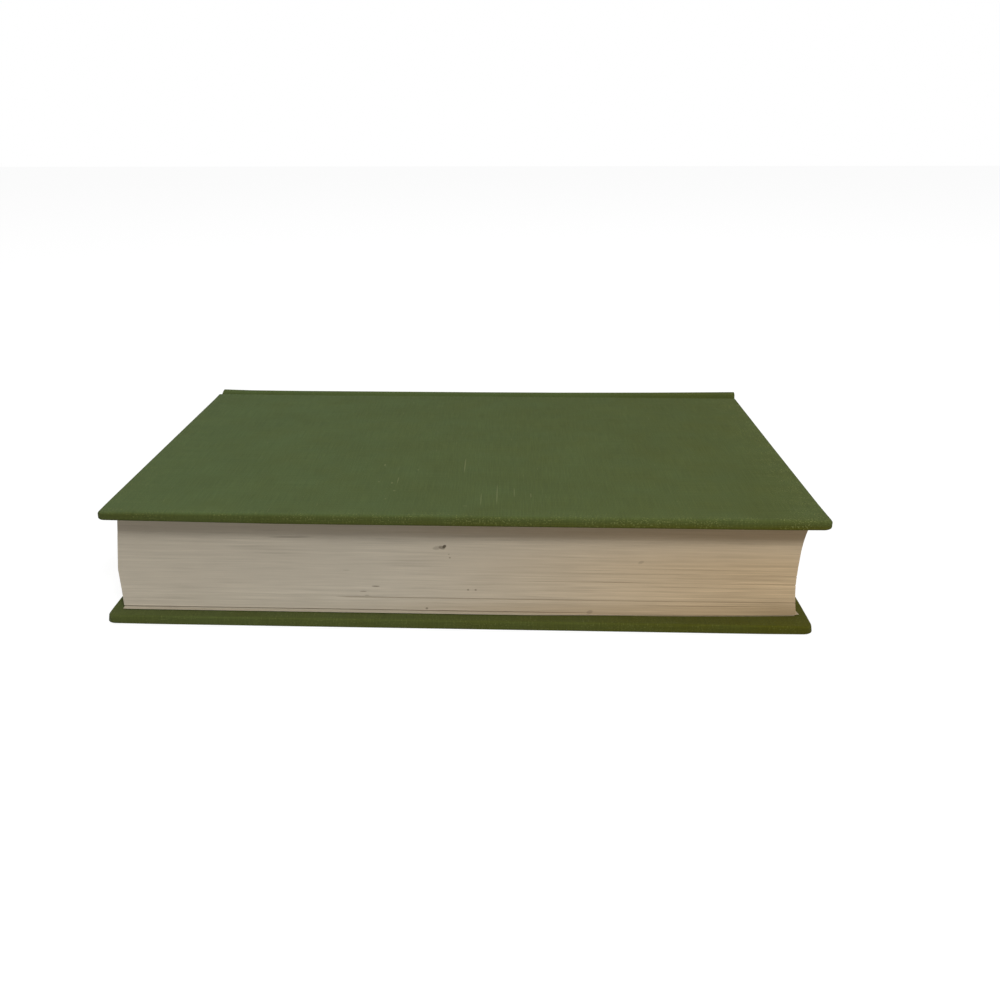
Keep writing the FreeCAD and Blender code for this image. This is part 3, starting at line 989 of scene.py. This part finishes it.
@dataclass
class SpineCloth:
    """The cloth over the spine and both ridges, turned in at head and tail."""

    binding: Binding
    arc_steps: tuple[int, int, int] = (9, 12, 56)
    lengthwise: int = 88
    fold_steps: int = 6
    turn_in_steps: int = 4
    head_spread: float = 0.9
    tail_spread: float = 0.35
    end_drop: float = 2.6
    bow_depth: float = 6.0
    crest_over: float = 1.2
    wall_start: float = 36.6
    wall_rise: float = 1.6
    ridge_dips: tuple[tuple[float, float], ...] = (
        (-111.0, -0.03),
        (-98.0, -0.38),
        (-76.0, -0.5),
        (0.0, -0.5),
        (36.0, -0.4),
        (60.0, -0.22),
        (79.0, -0.05),
        (96.0, 0.18),
        (112.0, 0.4),
    )

    def route(self) -> tuple[np.ndarray, np.ndarray, np.ndarray]:
        """The outside line of the case's spine, from the front groove to the back one.

        Returns:
            Places (Y, Z), directions out of the cloth, and the length along the line.
        """
        b = self.binding
        wall, ridge, back = self.arc_steps
        sweeps = []
        for side in Side:
            shoulder = b.shoulders[side]
            reach = shoulder.radius - b.build.cloth_stack
            turns = np.linspace(b.build.bend_start / reach, shoulder.case_turn, wall)
            angles = side.value * (turns - math.pi / 2)
            sweeps.append((shoulder.root_y, shoulder.centre_z, reach, angles, -1))
            away = math.atan2(shoulder.tip_z - b.spine_middle, shoulder.tip_y - b.case_y)
            crest = np.linspace(side.value * (shoulder.case_turn + math.pi / 2), away, ridge)
            sweeps.append((shoulder.tip_y, shoulder.tip_z, b.build.ridge_radius, crest, 1))
        front_away = sweeps[1][3][-1]
        back_away = sweeps[3][3][-1]
        round_back = (b.case_y, b.spine_middle, b.case_radius, np.linspace(front_away, back_away, back), 1)
        order = [sweeps[0], sweeps[1], round_back]
        order += [(y, z, r, angles[::-1], out) for y, z, r, angles, out in (sweeps[3], sweeps[2])]
        rows, ways = [], []
        for y, z, radius, angles, out in order:
            for angle in angles[0 if not rows else 1:]:
                rows.append((y + radius * math.cos(angle), z + radius * math.sin(angle)))
                ways.append((out * math.cos(angle), out * math.sin(angle)))
        line = np.array(rows)
        return line, np.array(ways), run_lengths(line)

    def depth(self, line: np.ndarray) -> np.ndarray:
        """Thickness of the folded end at each place: cloth on cloth, or round the inlay."""
        b = self.binding.build
        card = self.binding.half_height - b.inlay_margin
        inside = held((card - np.abs(line[:, 1] - self.binding.spine_middle)) / 1.5 + 0.5)
        inside *= line[:, 0] > self.binding.shoulders[Side.FRONT].tip_y
        return 2 * b.cloth + b.inlay * eased(inside)

    def make(self, material: bpy.types.Material) -> None:
        """Build and dress the cloth."""
        b = self.binding
        line, ways, lengths = self.route()
        depths = self.depth(line)
        down = held((b.spine_high.z - line[:, 1]) / self.end_drop)
        wall = np.where(line[:, 0] < b.shoulders[Side.FRONT].tip_y, down, 0.0)
        ridge = held((line[:, 1] - b.spine_middle) / b.half_height)
        low_ends = b.spine_low.x - self.head_spread * wall
        high_ends = b.spine_high.x + self.tail_spread * ridge
        fold = np.linspace(0, 1, self.fold_steps + 1)[1:]
        turned = np.linspace(0, 1, self.turn_in_steps + 1)[1:]
        flat = np.linspace(0, 1, self.lengthwise + 1)
        columns = 2 * (len(fold) + len(turned)) + len(flat)
        piece = Workpiece.sheet("spine_cloth_sheet", columns - 1, len(line) - 1)

        def lay(places: np.ndarray) -> tuple[np.ndarray, np.ndarray]:
            """Form the flat sheet round the case, and give its unfolded places."""
            column = np.rint(places[:, 0] * (columns - 1)).astype(int)
            row = np.rint(places[:, 1] * (len(line) - 1)).astype(int)
            half = depths[row] / 2
            ends = len(fold) + len(turned)
            past_low = ends - column
            past_high = column - (columns - 1 - ends)
            past = np.maximum(np.maximum(past_low, past_high), 0)
            at_low = past_low > 0
            share = flat[np.clip(column - ends, 0, len(flat) - 1)]
            bulge = np.minimum(half, 0.35)
            low_x, high_x = low_ends[row], high_ends[row]
            x = low_x + bulge + share * (high_x - low_x - 2 * bulge)
            angle = math.pi * held(past / len(fold))
            inwards = np.maximum(past - len(fold), 0) / len(turned) * b.build.turn_in
            out = bulge * np.sin(angle) - inwards
            x = x + np.where(past > 0, np.where(at_low, -out, out), 0)
            depth = half * (1 - np.cos(angle))
            y = line[row, 0] - ways[row, 0] * depth
            z = line[row, 1] - ways[row, 1] * depth
            lift = np.interp(x, *zip(*self.ridge_dips)) * self.ridge_share(line)[row]
            flat_x = np.where(past > 0, x + np.where(at_low, -2, 2) * inwards, x)
            return np.stack([x, y, z + lift], axis=1), np.stack([flat_x, lengths[row]], axis=1)

        chart = lay(piece.points())[1][piece.corners()] + (0, b.root_y + b.build.bend_start)
        piece.map("weave", lambda places, middles, normals: chart)
        piece.form(lambda places: lay(places)[0])
        if piece.obj.data.polygons[len(piece.obj.data.polygons) // 2].normal.y < 0:
            piece.flip()
        piece.thicken(b.build.cloth)
        piece.paint("wear_and_light", self.wear_and_light)
        # More yellowish towards the tail: partly fading, partly painted warm light.
        piece.paint("olive_and_warm_light", lambda places: 0.12 + 0.42 * held((places[:, 0] - 10) / 90))
        cloth = piece.hand_over(material, Slot.CLOTH, "spine_cloth")
        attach(cloth, "book_block")

    def ridge_share(self, line: np.ndarray) -> np.ndarray:
        """How much of the front ridge's bow reaches each place of the route."""
        shoulder = self.binding.shoulders[Side.FRONT]
        crest = held((line[:, 1] - shoulder.tip_z + self.bow_depth) / (self.crest_over + self.bow_depth))
        wall = held((line[:, 1] - self.wall_start) / self.wall_rise)
        return eased(np.where(line[:, 0] < shoulder.tip_y - self.crest_over, wall, crest))

    def wear_and_light(self, places: np.ndarray) -> np.ndarray:
        """1 at the ends of the ridges and along head and tail, less along the ridges."""
        low, high = self.binding.spine_low, self.binding.spine_high
        ends = np.minimum(np.abs(places[:, 0] - low.x), np.abs(high.x - places[:, 0]))
        crest = np.minimum(np.abs(places[:, 2] - low.z), np.abs(high.z - places[:, 2]))
        return held(held(1.3 - ends / 0.9) + 0.5 * held(1 - crest / 0.7))


@dataclass
class Leaves:
    """All the leaves, sewn in sections, trimmed, rounded and backed."""

    binding: Binding
    sections: int = 22
    middle_slip: float = -1.9
    seam_depth: float = 0.14
    seam_half_width: float = 0.007
    slit: float = 0.0085
    slit_depth: float = 0.4
    plain_seam: float = 0.13
    seam_wander: float = 0.14
    corner_draw: float = 1.7
    head_swell: tuple[tuple[float, float], ...] = (
        (0.0, 0.0),
        (0.17, 0.18),
        (0.26, 0.38),
        (0.38, 0.66),
        (0.48, 0.42),
        (0.66, 0.08),
        (0.8, -0.15),
        (1.0, -0.25),
    )
    tail_swell: tuple[tuple[float, float], ...] = (
        (0.0, 0.1),
        (0.2, 0.15),
        (0.3, 0.3),
        (0.45, 0.65),
        (0.57, 0.76),
        (0.8, 0.56),
        (1.0, 0.45),
    )
    seed: int = 7

    def make(self, material: bpy.types.Material) -> None:
        """Build and dress the leaves."""
        self.fore = self.fore_line()
        draw = random.Random(self.seed)
        count = range(1, self.sections)
        wander = self.seam_wander
        self.seams = np.array([(k + draw.uniform(-wander, wander)) / self.sections for k in count])
        self.strengths = np.array([draw.uniform(0.3, 1.0) for _ in count])
        self.seams[np.argmin(np.abs(self.seams - self.plain_seam))] = self.plain_seam
        piece = Workpiece.block("leaf_block", (-1.0, 0.0, 0.0), (1.0, 1.0, 1.0))
        piece.cut_all(0, np.linspace(-1, 1, 57)[1:-1])
        piece.cut_all(1, [0.004, *np.linspace(0, 0.9, 10)[1:], *np.linspace(0.9, 1, 9)[1:-1]])
        piece.cut_all(2, self.levels())
        piece.map("leaf", lambda places, middles, normals: self.chart(places, normals))
        # The seam attribute also darkens the leaf edges as painted shade in the gaps.
        piece.paint("seam", lambda places: self.seam(places[:, 0], places[:, 1], places[:, 2]))
        piece.form(self.shape)
        leaves = piece.hand_over(material, Slot.LEAVES, "text_block")
        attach(leaves, "book_block")

    def levels(self) -> list[float]:
        """Places in the stack where the block is cut: round each seam, and between the seams."""
        places = [self.slit - self.seam_half_width, self.slit, self.slit + self.seam_half_width]
        bounds = [0.0, *self.seams, 1.0]
        for low, high in zip(bounds, bounds[1:]):
            places += [low + (high - low) * share for share in (0.42, 0.7)]
        for seam in self.seams:
            places += [seam - self.seam_half_width, seam, seam + self.seam_half_width]
        return sorted(places)

    def seam(self, x: np.ndarray, along: np.ndarray, stack: np.ndarray) -> np.ndarray:
        """How open the gap between two sections is, from 0 to 1, and the slit over the last leaf."""
        nearest = np.argmin(np.abs(stack[:, None] - self.seams[None, :]), axis=1)
        on_seam = np.abs(stack - self.seams[nearest]) < 0.001
        towards_tail = held((x - 0.02) / 0.6)
        upper = held((stack - 0.4) / 0.16)
        open_fore = (0.04 + 0.96 * towards_tail) * (1 - 0.85 * upper)
        open_fore = open_fore * (0.66 + 0.34 * np.sin(x * 11.0 + self.seams[nearest] * 70.0))
        plain = (np.abs(self.seams[nearest] - self.plain_seam) < 0.001) & (x > -0.35)
        open_fore = np.where(plain, 0.9, open_fore * self.strengths[nearest])
        open_end = 0.5 * self.strengths[nearest]
        gap = np.where(on_seam, np.where(along < 0.002, open_fore, open_end), 0.0)
        slit = (np.abs(stack - self.slit) < 0.001) & (along < 0.002)
        return np.where(slit, held((0.52 - x) / 0.3), gap)

    def chart(self, places: np.ndarray, normals: np.ndarray) -> np.ndarray:
        """Length along the leaves' edge, and the place in the stack from 0 to 1."""
        on_end = np.abs(normals[:, 0]) > 0.5
        along = np.where(on_end, places[:, 1] * 141.0 + 400.0 * np.sign(places[:, 0]), places[:, 0] * 107.0)
        return np.stack([along, places[:, 2]], axis=1)

    def fore_line(self) -> tuple[float, float, float]:
        """Places of the fore edge at the base, middle and top of the stack."""
        base = node_box("back_flyleaf")[0].y
        top = node_box("front_flyleaf")[0].y
        return base, base + 3.3, top

    def shape(self, places: np.ndarray) -> np.ndarray:
        """Carry the unit block onto the leaves' true form."""
        b = self.binding
        x, along, stack = places[:, 0], places[:, 1], places[:, 2]
        base, middle, top = self.fore
        hollow = (1 - stack) * (1 - 2 * stack) * base + 4 * stack * (1 - stack) * middle
        fore = hollow + stack * (2 * stack - 1) * top + self.corner_recess(x, stack)
        gap = self.seam(x, along, stack)
        on_slit = np.abs(stack - self.slit) < 0.001
        depth = np.where(on_slit, self.slit_depth, self.seam_depth)
        fore = fore + np.where(along < 0.002, gap * depth, 0.0)
        height = b.leaves_base + stack * (b.leaves_top - b.leaves_base)
        root = b.root_y
        y = fore + (root - fore) * held(along / 0.9)
        past = held((along - 0.9) / 0.1)
        back_y, back_z = self.back_place(stack)
        front_turn = b.shoulders[Side.FRONT].leaf_turn
        back_turn = b.shoulders[Side.BACK].leaf_turn
        turn = back_turn + (front_turn - back_turn) * stack
        y += (back_y - root) * np.sin(past * turn) / np.sin(turn)
        z = height + (back_z - height) * (1 - np.cos(past * turn)) / (1 - np.cos(turn))
        dip = np.where(np.abs(x) > 0.999, gap * self.seam_depth, 0.0)
        return np.stack([self.end_place(x, stack) - np.sign(x) * dip, y, z], axis=1)

    def back_place(self, stack: np.ndarray) -> tuple[np.ndarray, np.ndarray]:
        """Where each leaf ends on the rounded back."""
        b = self.binding
        tips = []
        for side in (Side.BACK, Side.FRONT):
            shoulder = b.shoulders[side]
            turn = shoulder.leaf_turn
            y = b.root_y + shoulder.radius * math.sin(turn)
            tips.append((y, shoulder.centre_z - side.value * shoulder.radius * math.cos(turn)))
        apex = b.leaf_high.y
        z = tips[0][1] + stack * (tips[1][1] - tips[0][1])
        y = tips[0][0] + stack * (tips[1][0] - tips[0][0])
        return y + 4 * stack * (1 - stack) * (apex - (tips[0][0] + tips[1][0]) / 2), z

    def beside_back(self, stack: np.ndarray, out: np.ndarray | float) -> tuple[np.ndarray, np.ndarray]:
        """Places (Y, Z) at a distance out of the rounded back."""
        y, z = self.back_place(stack)
        ahead_y, ahead_z = self.back_place(stack + 0.001)
        step = np.hypot(ahead_y - y, ahead_z - z)
        return y + out * (ahead_z - z) / step, z - out * (ahead_y - y) / step

    def end_place(self, x: np.ndarray, stack: np.ndarray) -> np.ndarray:
        """Place along the spine, with the bow of the trimmed head and tail."""
        front = node_box("front_flyleaf")
        back = node_box("back_flyleaf")
        half = (front[1].x - front[0].x) / 2
        front_x = (front[0].x + front[1].x) / 2
        back_x = (back[0].x + back[1].x) / 2
        middle_x = front_x + self.middle_slip
        bow = (1 - stack) * (1 - 2 * stack) * back_x + 4 * stack * (1 - stack) * middle_x
        bow = bow + stack * (2 * stack - 1) * front_x
        tail = held(x) * np.interp(stack, *zip(*self.tail_swell))
        head = held(-x) * np.interp(stack, *zip(*self.head_swell))
        return bow + x * half + tail - head

    def corner_recess(self, x: np.ndarray, stack: np.ndarray) -> np.ndarray:
        """The lowest leaves draw back a little towards the tail."""
        towards = held((x - 0.5) / 0.5)
        low = held(1 - stack / 0.25)
        return self.corner_draw * towards * towards * low * low


@dataclass
class Endpaper:
    """One endpaper: its pasted half inside a cover, and its loose half on the leaves."""

    binding: Binding
    side: Side
    foot_reach: float = 1.1
    corner_flare: float = 1.4
    tail_recess: float = 1.8
    tail_start: float = 45.0
    tail_length: float = 62.0
    mull_margin: float = 1.5
    sink_reach: float = 1.6
    fold_bulge: float = 0.12
    pasted_cuts: tuple[int, int] = (80, 60)
    fly_columns: int = 60
    fly_rows: tuple[int, int, int, int] = (26, 8, 3, 9)

    def near_tail(self, x: np.ndarray) -> np.ndarray:
        """0 till the last stretch before the tail, 1 at the tail."""
        return held((x - self.tail_start) / self.tail_length)

    def make(self, material: bpy.types.Material) -> None:
        """Build and dress both halves."""
        self.shoulder = self.binding.shoulders[self.side]
        self.pasted_half(material)
        self.loose_half(material)

    def pasted_half(self, material: bpy.types.Material) -> None:
        """The half that is pasted over the turned-in cloth, sunk where it meets the bare board."""
        build = self.binding.build
        low, high = node_box(self.side.word + "_pastedown")
        root = self.binding.root_y
        inner = build.sheet + build.sheet_gap
        columns, rows = self.pasted_cuts
        piece = Workpiece.sheet(self.side.word + "_pasted_sheet", columns, rows)
        cover_low, cover_high = self.binding.covers[self.side]
        left = cover_low.x + build.turn_in
        right = cover_high.x - build.turn_in
        front = cover_low.y + build.turn_in
        back = node_box(self.side.word + "_mull_flap")[0].y - self.mull_margin
        strip_rows = build.floor_steps + build.wall_steps

        def lay(places: np.ndarray) -> np.ndarray:
            """Lay the sheet inside the cover."""
            x = low.x + places[:, 0] * (high.x - low.x)
            row = places[:, 1] * rows
            towards = self.near_tail(x) * (self.side is Side.BACK)
            start = low.y + self.tail_recess * towards * towards
            flat = held(row / (rows - strip_rows)) * (root - build.groove_floor - start)
            y = start + flat + np.interp(row - rows + strip_rows, range(strip_rows + 1), build.strip)
            gap_x = np.minimum(x - left, right - x)
            gap_y = np.minimum(y - front, back - y)
            sunk = held(np.minimum(gap_x, gap_y) / self.sink_reach + 0.5)
            offset = inner + (build.mull - 0.01) * eased(sunk)
            return np.stack([x, y, self.shoulder.leaf_z + self.side.value * offset], axis=1)

        self.shoulder.lay_sheet(piece, lay)
        if self.side is Side.FRONT:
            piece.flip()
        piece.thicken(build.sheet)
        sheet = piece.hand_over(material, Slot.ENDPAPER, self.side.word + "_pastedown")
        self.binding.bend(sheet, self.side)

    def loose_half(self, material: bpy.types.Material) -> None:
        """The half that turns with the leaves, folded back on itself at the shoulder."""
        build = self.binding.build
        shoulder = self.shoulder
        low, high = node_box(self.side.word + "_flyleaf")
        root = self.binding.root_y
        reach = shoulder.radius - build.cloth_stack
        tip = shoulder.leaf_turn * reach
        rows = sum(self.fly_rows)
        piece = Workpiece.sheet(self.side.word + "_fly_sheet", self.fly_columns, rows)
        flat_rows, bend_rows, fold_rows, home_rows = (count / rows for count in self.fly_rows)

        def lay(places: np.ndarray) -> np.ndarray:
            """Lay the sheet on the leaves, round the shoulder and back over itself."""
            x = low.x + places[:, 0] * (high.x - low.x)
            row = places[:, 1]
            flat = held(row / flat_rows) * (root - low.y)
            bend = held((row - flat_rows) / bend_rows) * tip
            fold = held((row - flat_rows - bend_rows) / fold_rows)
            home = held((row - 1 + home_rows) / home_rows) * (tip - build.bend_start)
            y = low.y + flat + bend - home
            step = build.sheet + build.sheet_gap
            offset = build.sheet + step * (1 - np.cos(fold * math.pi)) / 2
            y = y + self.fold_bulge * np.sin(fold * math.pi)
            return np.stack([x, y, shoulder.leaf_z + self.side.value * offset], axis=1)

        shoulder.lay_sheet(piece, lay)
        piece.form(self.fore_bow)
        if self.side is Side.BACK:
            piece.flip()
        piece.thicken(build.sheet)
        sheet = piece.hand_over(material, Slot.ENDPAPER, self.side.word + "_flyleaf")
        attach(sheet, "book_block")

    def fore_bow(self, places: np.ndarray) -> np.ndarray:
        """Let the last leaf stand out at the foot, draw back near the tail and flare at its corner."""
        moved = places.copy()
        if self.side is Side.BACK:
            near = held((-50.0 - places[:, 1]) / 21.0)
            towards = self.near_tail(places[:, 0])
            reach = self.foot_reach * held((60.0 - places[:, 0]) / 40.0)
            moved[:, 1] += near * (2.3 * towards * towards - reach)
            corner = held((places[:, 0] - 99.0) / 8.0) * held((-58.0 - places[:, 1]) / 13.0)
            moved[:, 0] += self.corner_flare * corner * corner
        return moved


@dataclass
class Mull:
    """Open-weave cloth over the leaves' back, with its edges glued to the boards under the pastedowns."""

    binding: Binding
    leaves: Leaves
    columns: int = 40
    flat_rows: int = 8
    glue: float = 0.05

    def make(self, material: bpy.types.Material) -> None:
        """Build and dress the two edges and the back."""
        for side in Side:
            self.edge(side, material)
        self.back(material)

    def edge(self, side: Side, material: bpy.types.Material) -> None:
        """The edge glued to a board, laid into the groove and round the shoulder."""
        build = self.binding.build
        shoulder = self.binding.shoulders[side]
        low, high = node_box(side.word + "_mull_flap")
        steps = build.floor_steps + build.wall_steps
        rows = self.flat_rows + steps
        piece = Workpiece.sheet(side.word + "_mull_edge", self.columns, rows)
        level = shoulder.level(build.hinge_stack)

        def lay(places: np.ndarray) -> np.ndarray:
            """Lay the sheet under the pastedown."""
            row = places[:, 1] * rows
            flat = held(row / self.flat_rows) * (self.binding.root_y - build.groove_floor - low.y)
            y = low.y + flat + np.interp(row - self.flat_rows, range(steps + 1), build.strip)
            return np.stack([low.x + places[:, 0] * (high.x - low.x), y, np.full(len(y), level)], axis=1)

        shoulder.lay_sheet(piece, lay)
        if side is Side.FRONT:
            piece.flip()
        piece.thicken(build.mull)
        edge = piece.hand_over(material, Slot.MULL, side.word + "_mull_flap")
        self.binding.bend(edge, side)

    def back(self, material: bpy.types.Material) -> None:
        """The part that stays on the leaves, over both shoulders and the back."""
        low, high = node_box("spine_mull")
        line = self.route()
        lengths = run_lengths(line)
        rows = len(line) - 1
        piece = Workpiece.sheet("spine_mull_sheet", self.columns, rows)

        def unroll(places: np.ndarray) -> np.ndarray:
            """Lay the sheet flat, with its true lengths."""
            y = np.interp(places[:, 1] * rows, range(rows + 1), lengths)
            return np.stack([low.x + places[:, 0] * (high.x - low.x), y, 0 * y], axis=1)

        def roll(places: np.ndarray) -> np.ndarray:
            """Carry the flat sheet to the line."""
            row = np.rint(np.interp(places[:, 1], lengths, range(rows + 1))).astype(int)
            return np.stack([places[:, 0], line[row, 0], line[row, 1]], axis=1)

        piece.form(unroll)
        piece.map("sheet", as_laid)
        piece.form(roll)
        piece.flip()
        piece.thicken(self.binding.build.mull)
        back = piece.hand_over(material, Slot.MULL, "spine_mull")
        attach(back, "book_block")

    def route(self) -> np.ndarray:
        """The mull's inside line (Y, Z), from the front strip round the leaves' back to the back strip."""
        build = self.binding.build
        sides = []
        for side in Side:
            shoulder = self.binding.shoulders[side]
            tip = shoulder.leaf_turn * (shoulder.radius - build.cloth_stack)
            beyond = np.append(np.linspace(build.bend_start, tip, 9), tip + 0.28)
            level = np.append(np.full(9, shoulder.level(build.hinge_stack)), shoulder.level(build.sheet))
            flat = np.stack([np.zeros(10), self.binding.root_y + beyond, level], axis=1)
            sides.append(shoulder.wrap(flat)[:, 1:])
        stack = np.linspace(0.98, 0.02, 30)
        back = self.leaves.beside_back(stack, self.glue)
        return np.concatenate([sides[0], np.stack(back, axis=1), sides[1][::-1]])


@dataclass
class EndBand:
    """A woven band at one end of the leaves' back: a tape glued on, and a bead wound with thread."""

    leaves: Leaves
    end: int
    bead_radius: float = 0.7
    glue: float = 0.05
    tape_width: float = 9.0
    tape_thickness: float = 0.3
    margin: float = 2.5
    steps: int = 64

    def make(self, material: bpy.types.Material) -> None:
        """Build and dress the bead and the tape."""
        name = "head_band" if self.end < 0 else "tail_band"
        bead = self.bead(name).hand_over(material, Slot.BAND, name)
        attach(bead, "book_block")
        tape = self.tape(name).hand_over(material, Slot.BAND)
        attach(tape, "book_block")

    def along(self, share: np.ndarray, out: np.ndarray, across: np.ndarray) -> np.ndarray:
        """Places beside the line where the leaves' back meets their end.

        Args:
            share: how far along the line, from the back shoulder to the front one.
            out: distance out of the leaves' back.
            across: distance past the leaves' end.

        Returns:
            The places, one row each.
        """
        binding = self.leaves.binding
        margin = self.margin / (binding.leaves_top - binding.leaves_base)
        stack = margin + share * (1 - 2 * margin)
        x = self.leaves.end_place(np.full(len(stack), float(self.end)), stack) + self.end * across
        return np.stack([x, *self.leaves.beside_back(stack, out)], axis=1)

    def bead(self, name: str) -> Workpiece:
        """The wound bead, standing over the leaves' end."""
        piece = Workpiece.rod(name + "_bead", self.bead_radius)
        piece.cut_all(2, np.linspace(0, 1, self.steps + 1)[1:-1])
        piece.map("thread", self.chart)
        centre = self.bead_radius + self.glue
        piece.form(lambda places: self.along(places[:, 2], places[:, 1], self.end * places[:, 0] + centre))
        piece.face_out()
        return piece

    def tape(self, name: str) -> Workpiece:
        """The tape that the bead is woven to, glued to the leaves' back."""
        low = (-self.tape_width, self.glue, 0.0)
        high = (self.bead_radius, self.glue + self.tape_thickness, 1.0)
        piece = Workpiece.block(name + "_tape", low, high)
        piece.cut_all(2, np.linspace(0, 1, self.steps + 1)[1:-1])
        piece.map("thread", self.chart)
        piece.form(lambda places: self.along(places[:, 2], places[:, 1], places[:, 0]))
        piece.face_out()
        return piece

    def chart(self, places: np.ndarray, middles: np.ndarray, normals: np.ndarray) -> np.ndarray:
        """Length along the band, wound a little aslant, and the place across it."""
        length = self.leaves.binding.leaves_top - self.leaves.binding.leaves_base - 2 * self.margin
        return np.stack([places[:, 2] * length + 0.12 * places[:, 1], places[:, 0] + places[:, 1]], axis=1)


class HiddenParts:
    """Solids inside the case that keep their own shape."""

    def make(self, nodes: dict[str, bpy.types.Object]) -> None:
        """Give each solid its finish."""
        board = HiddenStuff("grey_board", (150, 142, 126), (112, 104, 88), pitch=2.2, depth=0.05).build()
        lining = HiddenStuff("lining_kraft", (168, 138, 98), (132, 104, 70), pitch=3.0, depth=0.04).build()
        finishes = {"front_board": board, "back_board": board, "spine_inlay": board, "spine_lining": lining}
        for name, material in finishes.items():
            solid = nodes[name].data
            solid.materials.clear()
            solid.materials.append(material)
            LOG.info("%s: dressed", name)


@dataclass
class Studio:
    """Camera, floor and soft light."""

    place: Triple = (14.791, -366.100, 151.935)
    turn: Triple = (69.484, 0.168, 2.351)
    focal_pixels: float = 1031.2
    frame_pixels: float = 1000.0
    centre_across: float = 465.83
    sensor: float = 36.0
    sky: float = 0.4
    floor_size: float = 6.0
    floor_drop: float = 0.0001
    floor_glow: float = 0.88

    def make(self) -> None:
        """Set the studio up."""
        self.camera()
        self.floor()
        self.backdrop()
        self.lamp("overhead", (0.1, 0.25, 1.4), (0.0, 0.0, 0.0), size=1.5, power=6.0)
        self.lamp("window", (0.33, -0.85, 0.80), (0.0, -0.07, 0.02), size=0.2, power=6.2)

    def camera(self) -> None:
        """The photograph's camera."""
        eye = bpy.data.cameras.new("camera")
        eye.sensor_width = self.sensor
        eye.lens = self.focal_pixels / self.frame_pixels * self.sensor
        eye.shift_x = (self.frame_pixels / 2 - self.centre_across) / self.frame_pixels
        eye.clip_start = 0.01
        holder = bpy.data.objects.new("camera", eye)
        holder.location = Vector(self.place) * MM
        holder.rotation_euler = [math.radians(angle) for angle in self.turn]
        bpy.context.scene.collection.objects.link(holder)
        bpy.context.scene.camera = holder

    def floor(self) -> None:
        """A pale floor that shows white and keeps the book's shadow."""
        bpy.ops.mesh.primitive_plane_add(size=self.floor_size, location=(0, 0, -self.floor_drop))
        ground = bpy.context.object
        ground.name = "floor"
        g = Graph("pale_floor")
        seen = self.looked_at(g, "Is Camera Ray", "Is Glossy Ray", "Is Transmission Ray")
        plain = g.fed(g.node("BsdfDiffuse"), {"Color": (0.5, 0.5, 0.5, 1)})
        soft = g.fed(g.node("BsdfDiffuse"), {"Color": (0.2, 0.2, 0.2, 1)})
        glow = g.fed(g.node("Emission"), {"Strength": self.floor_glow})
        both = g.fed(g.node("AddShader"), {0: soft, 1: glow})
        choice = g.fed(g.node("MixShader"), {0: seen, 1: plain, 2: both})
        ground.data.materials.append(g.close(choice))

    def looked_at(self, g: Graph, first: str, *others: str) -> Value:
        """1 for the named kinds of ray, 0 for the rest."""
        path = g.node("LightPath")
        seen = g.fed(path, {}, first)
        for kind in others:
            seen = g.math("MAXIMUM", seen, g.fed(path, {}, kind))
        return seen

    def backdrop(self) -> None:
        """White all round to the eye, and a plain even sky to the book."""
        g = Graph("studio", world=True)
        seen = self.looked_at(g, "Is Camera Ray", "Is Transmission Ray")
        strength = seen * (1.0 - self.sky) + self.sky
        light = g.fed(g.node("Background"), {"Color": (1, 1, 1, 1), "Strength": strength})
        bpy.context.scene.world = g.close(light, "OutputWorld")

    def lamp(self, name: str, place: Triple, target: Triple, size: float, power: float) -> None:
        """A soft square lamp, in metres and watts."""
        light = bpy.data.lights.new(name, "AREA")
        light.size = size
        light.energy = power
        holder = bpy.data.objects.new(name, light)
        holder.location = place
        way = Vector(target) - Vector(place)
        holder.rotation_euler = way.to_track_quat("-Z", "Y").to_euler()
        bpy.context.scene.collection.objects.link(holder)


def main() -> None:
    """Build the book's looks over its solids."""
    logging.basicConfig(level=logging.INFO, format="%(name)s %(message)s")
    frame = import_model()
    scene = bpy.context.scene
    scene.view_settings.view_transform = "Standard"
    Studio().make()
    binding = Binding(Build())
    cloth = BookCloth().build()
    paper = PlainPaper().build()
    for side in Side:
        CoverCloth(binding, side).make(cloth)
    SpineCloth(binding).make(cloth)
    leaves = Leaves(binding)
    leaves.make(LeafEdges().build())
    for side in Side:
        Endpaper(binding, side).make(paper)
    mull = HiddenStuff("open_mull", (208, 200, 178), (120, 112, 92), pitch=1.3, depth=0.12, chart="sheet")
    Mull(binding, leaves).make(mull.build())
    thread = BandThread().build()
    for end in (-1, 1):
        EndBand(leaves, end).make(thread)
    HiddenParts().make(frame["nodes"])


if __name__ == "__main__":
    main()
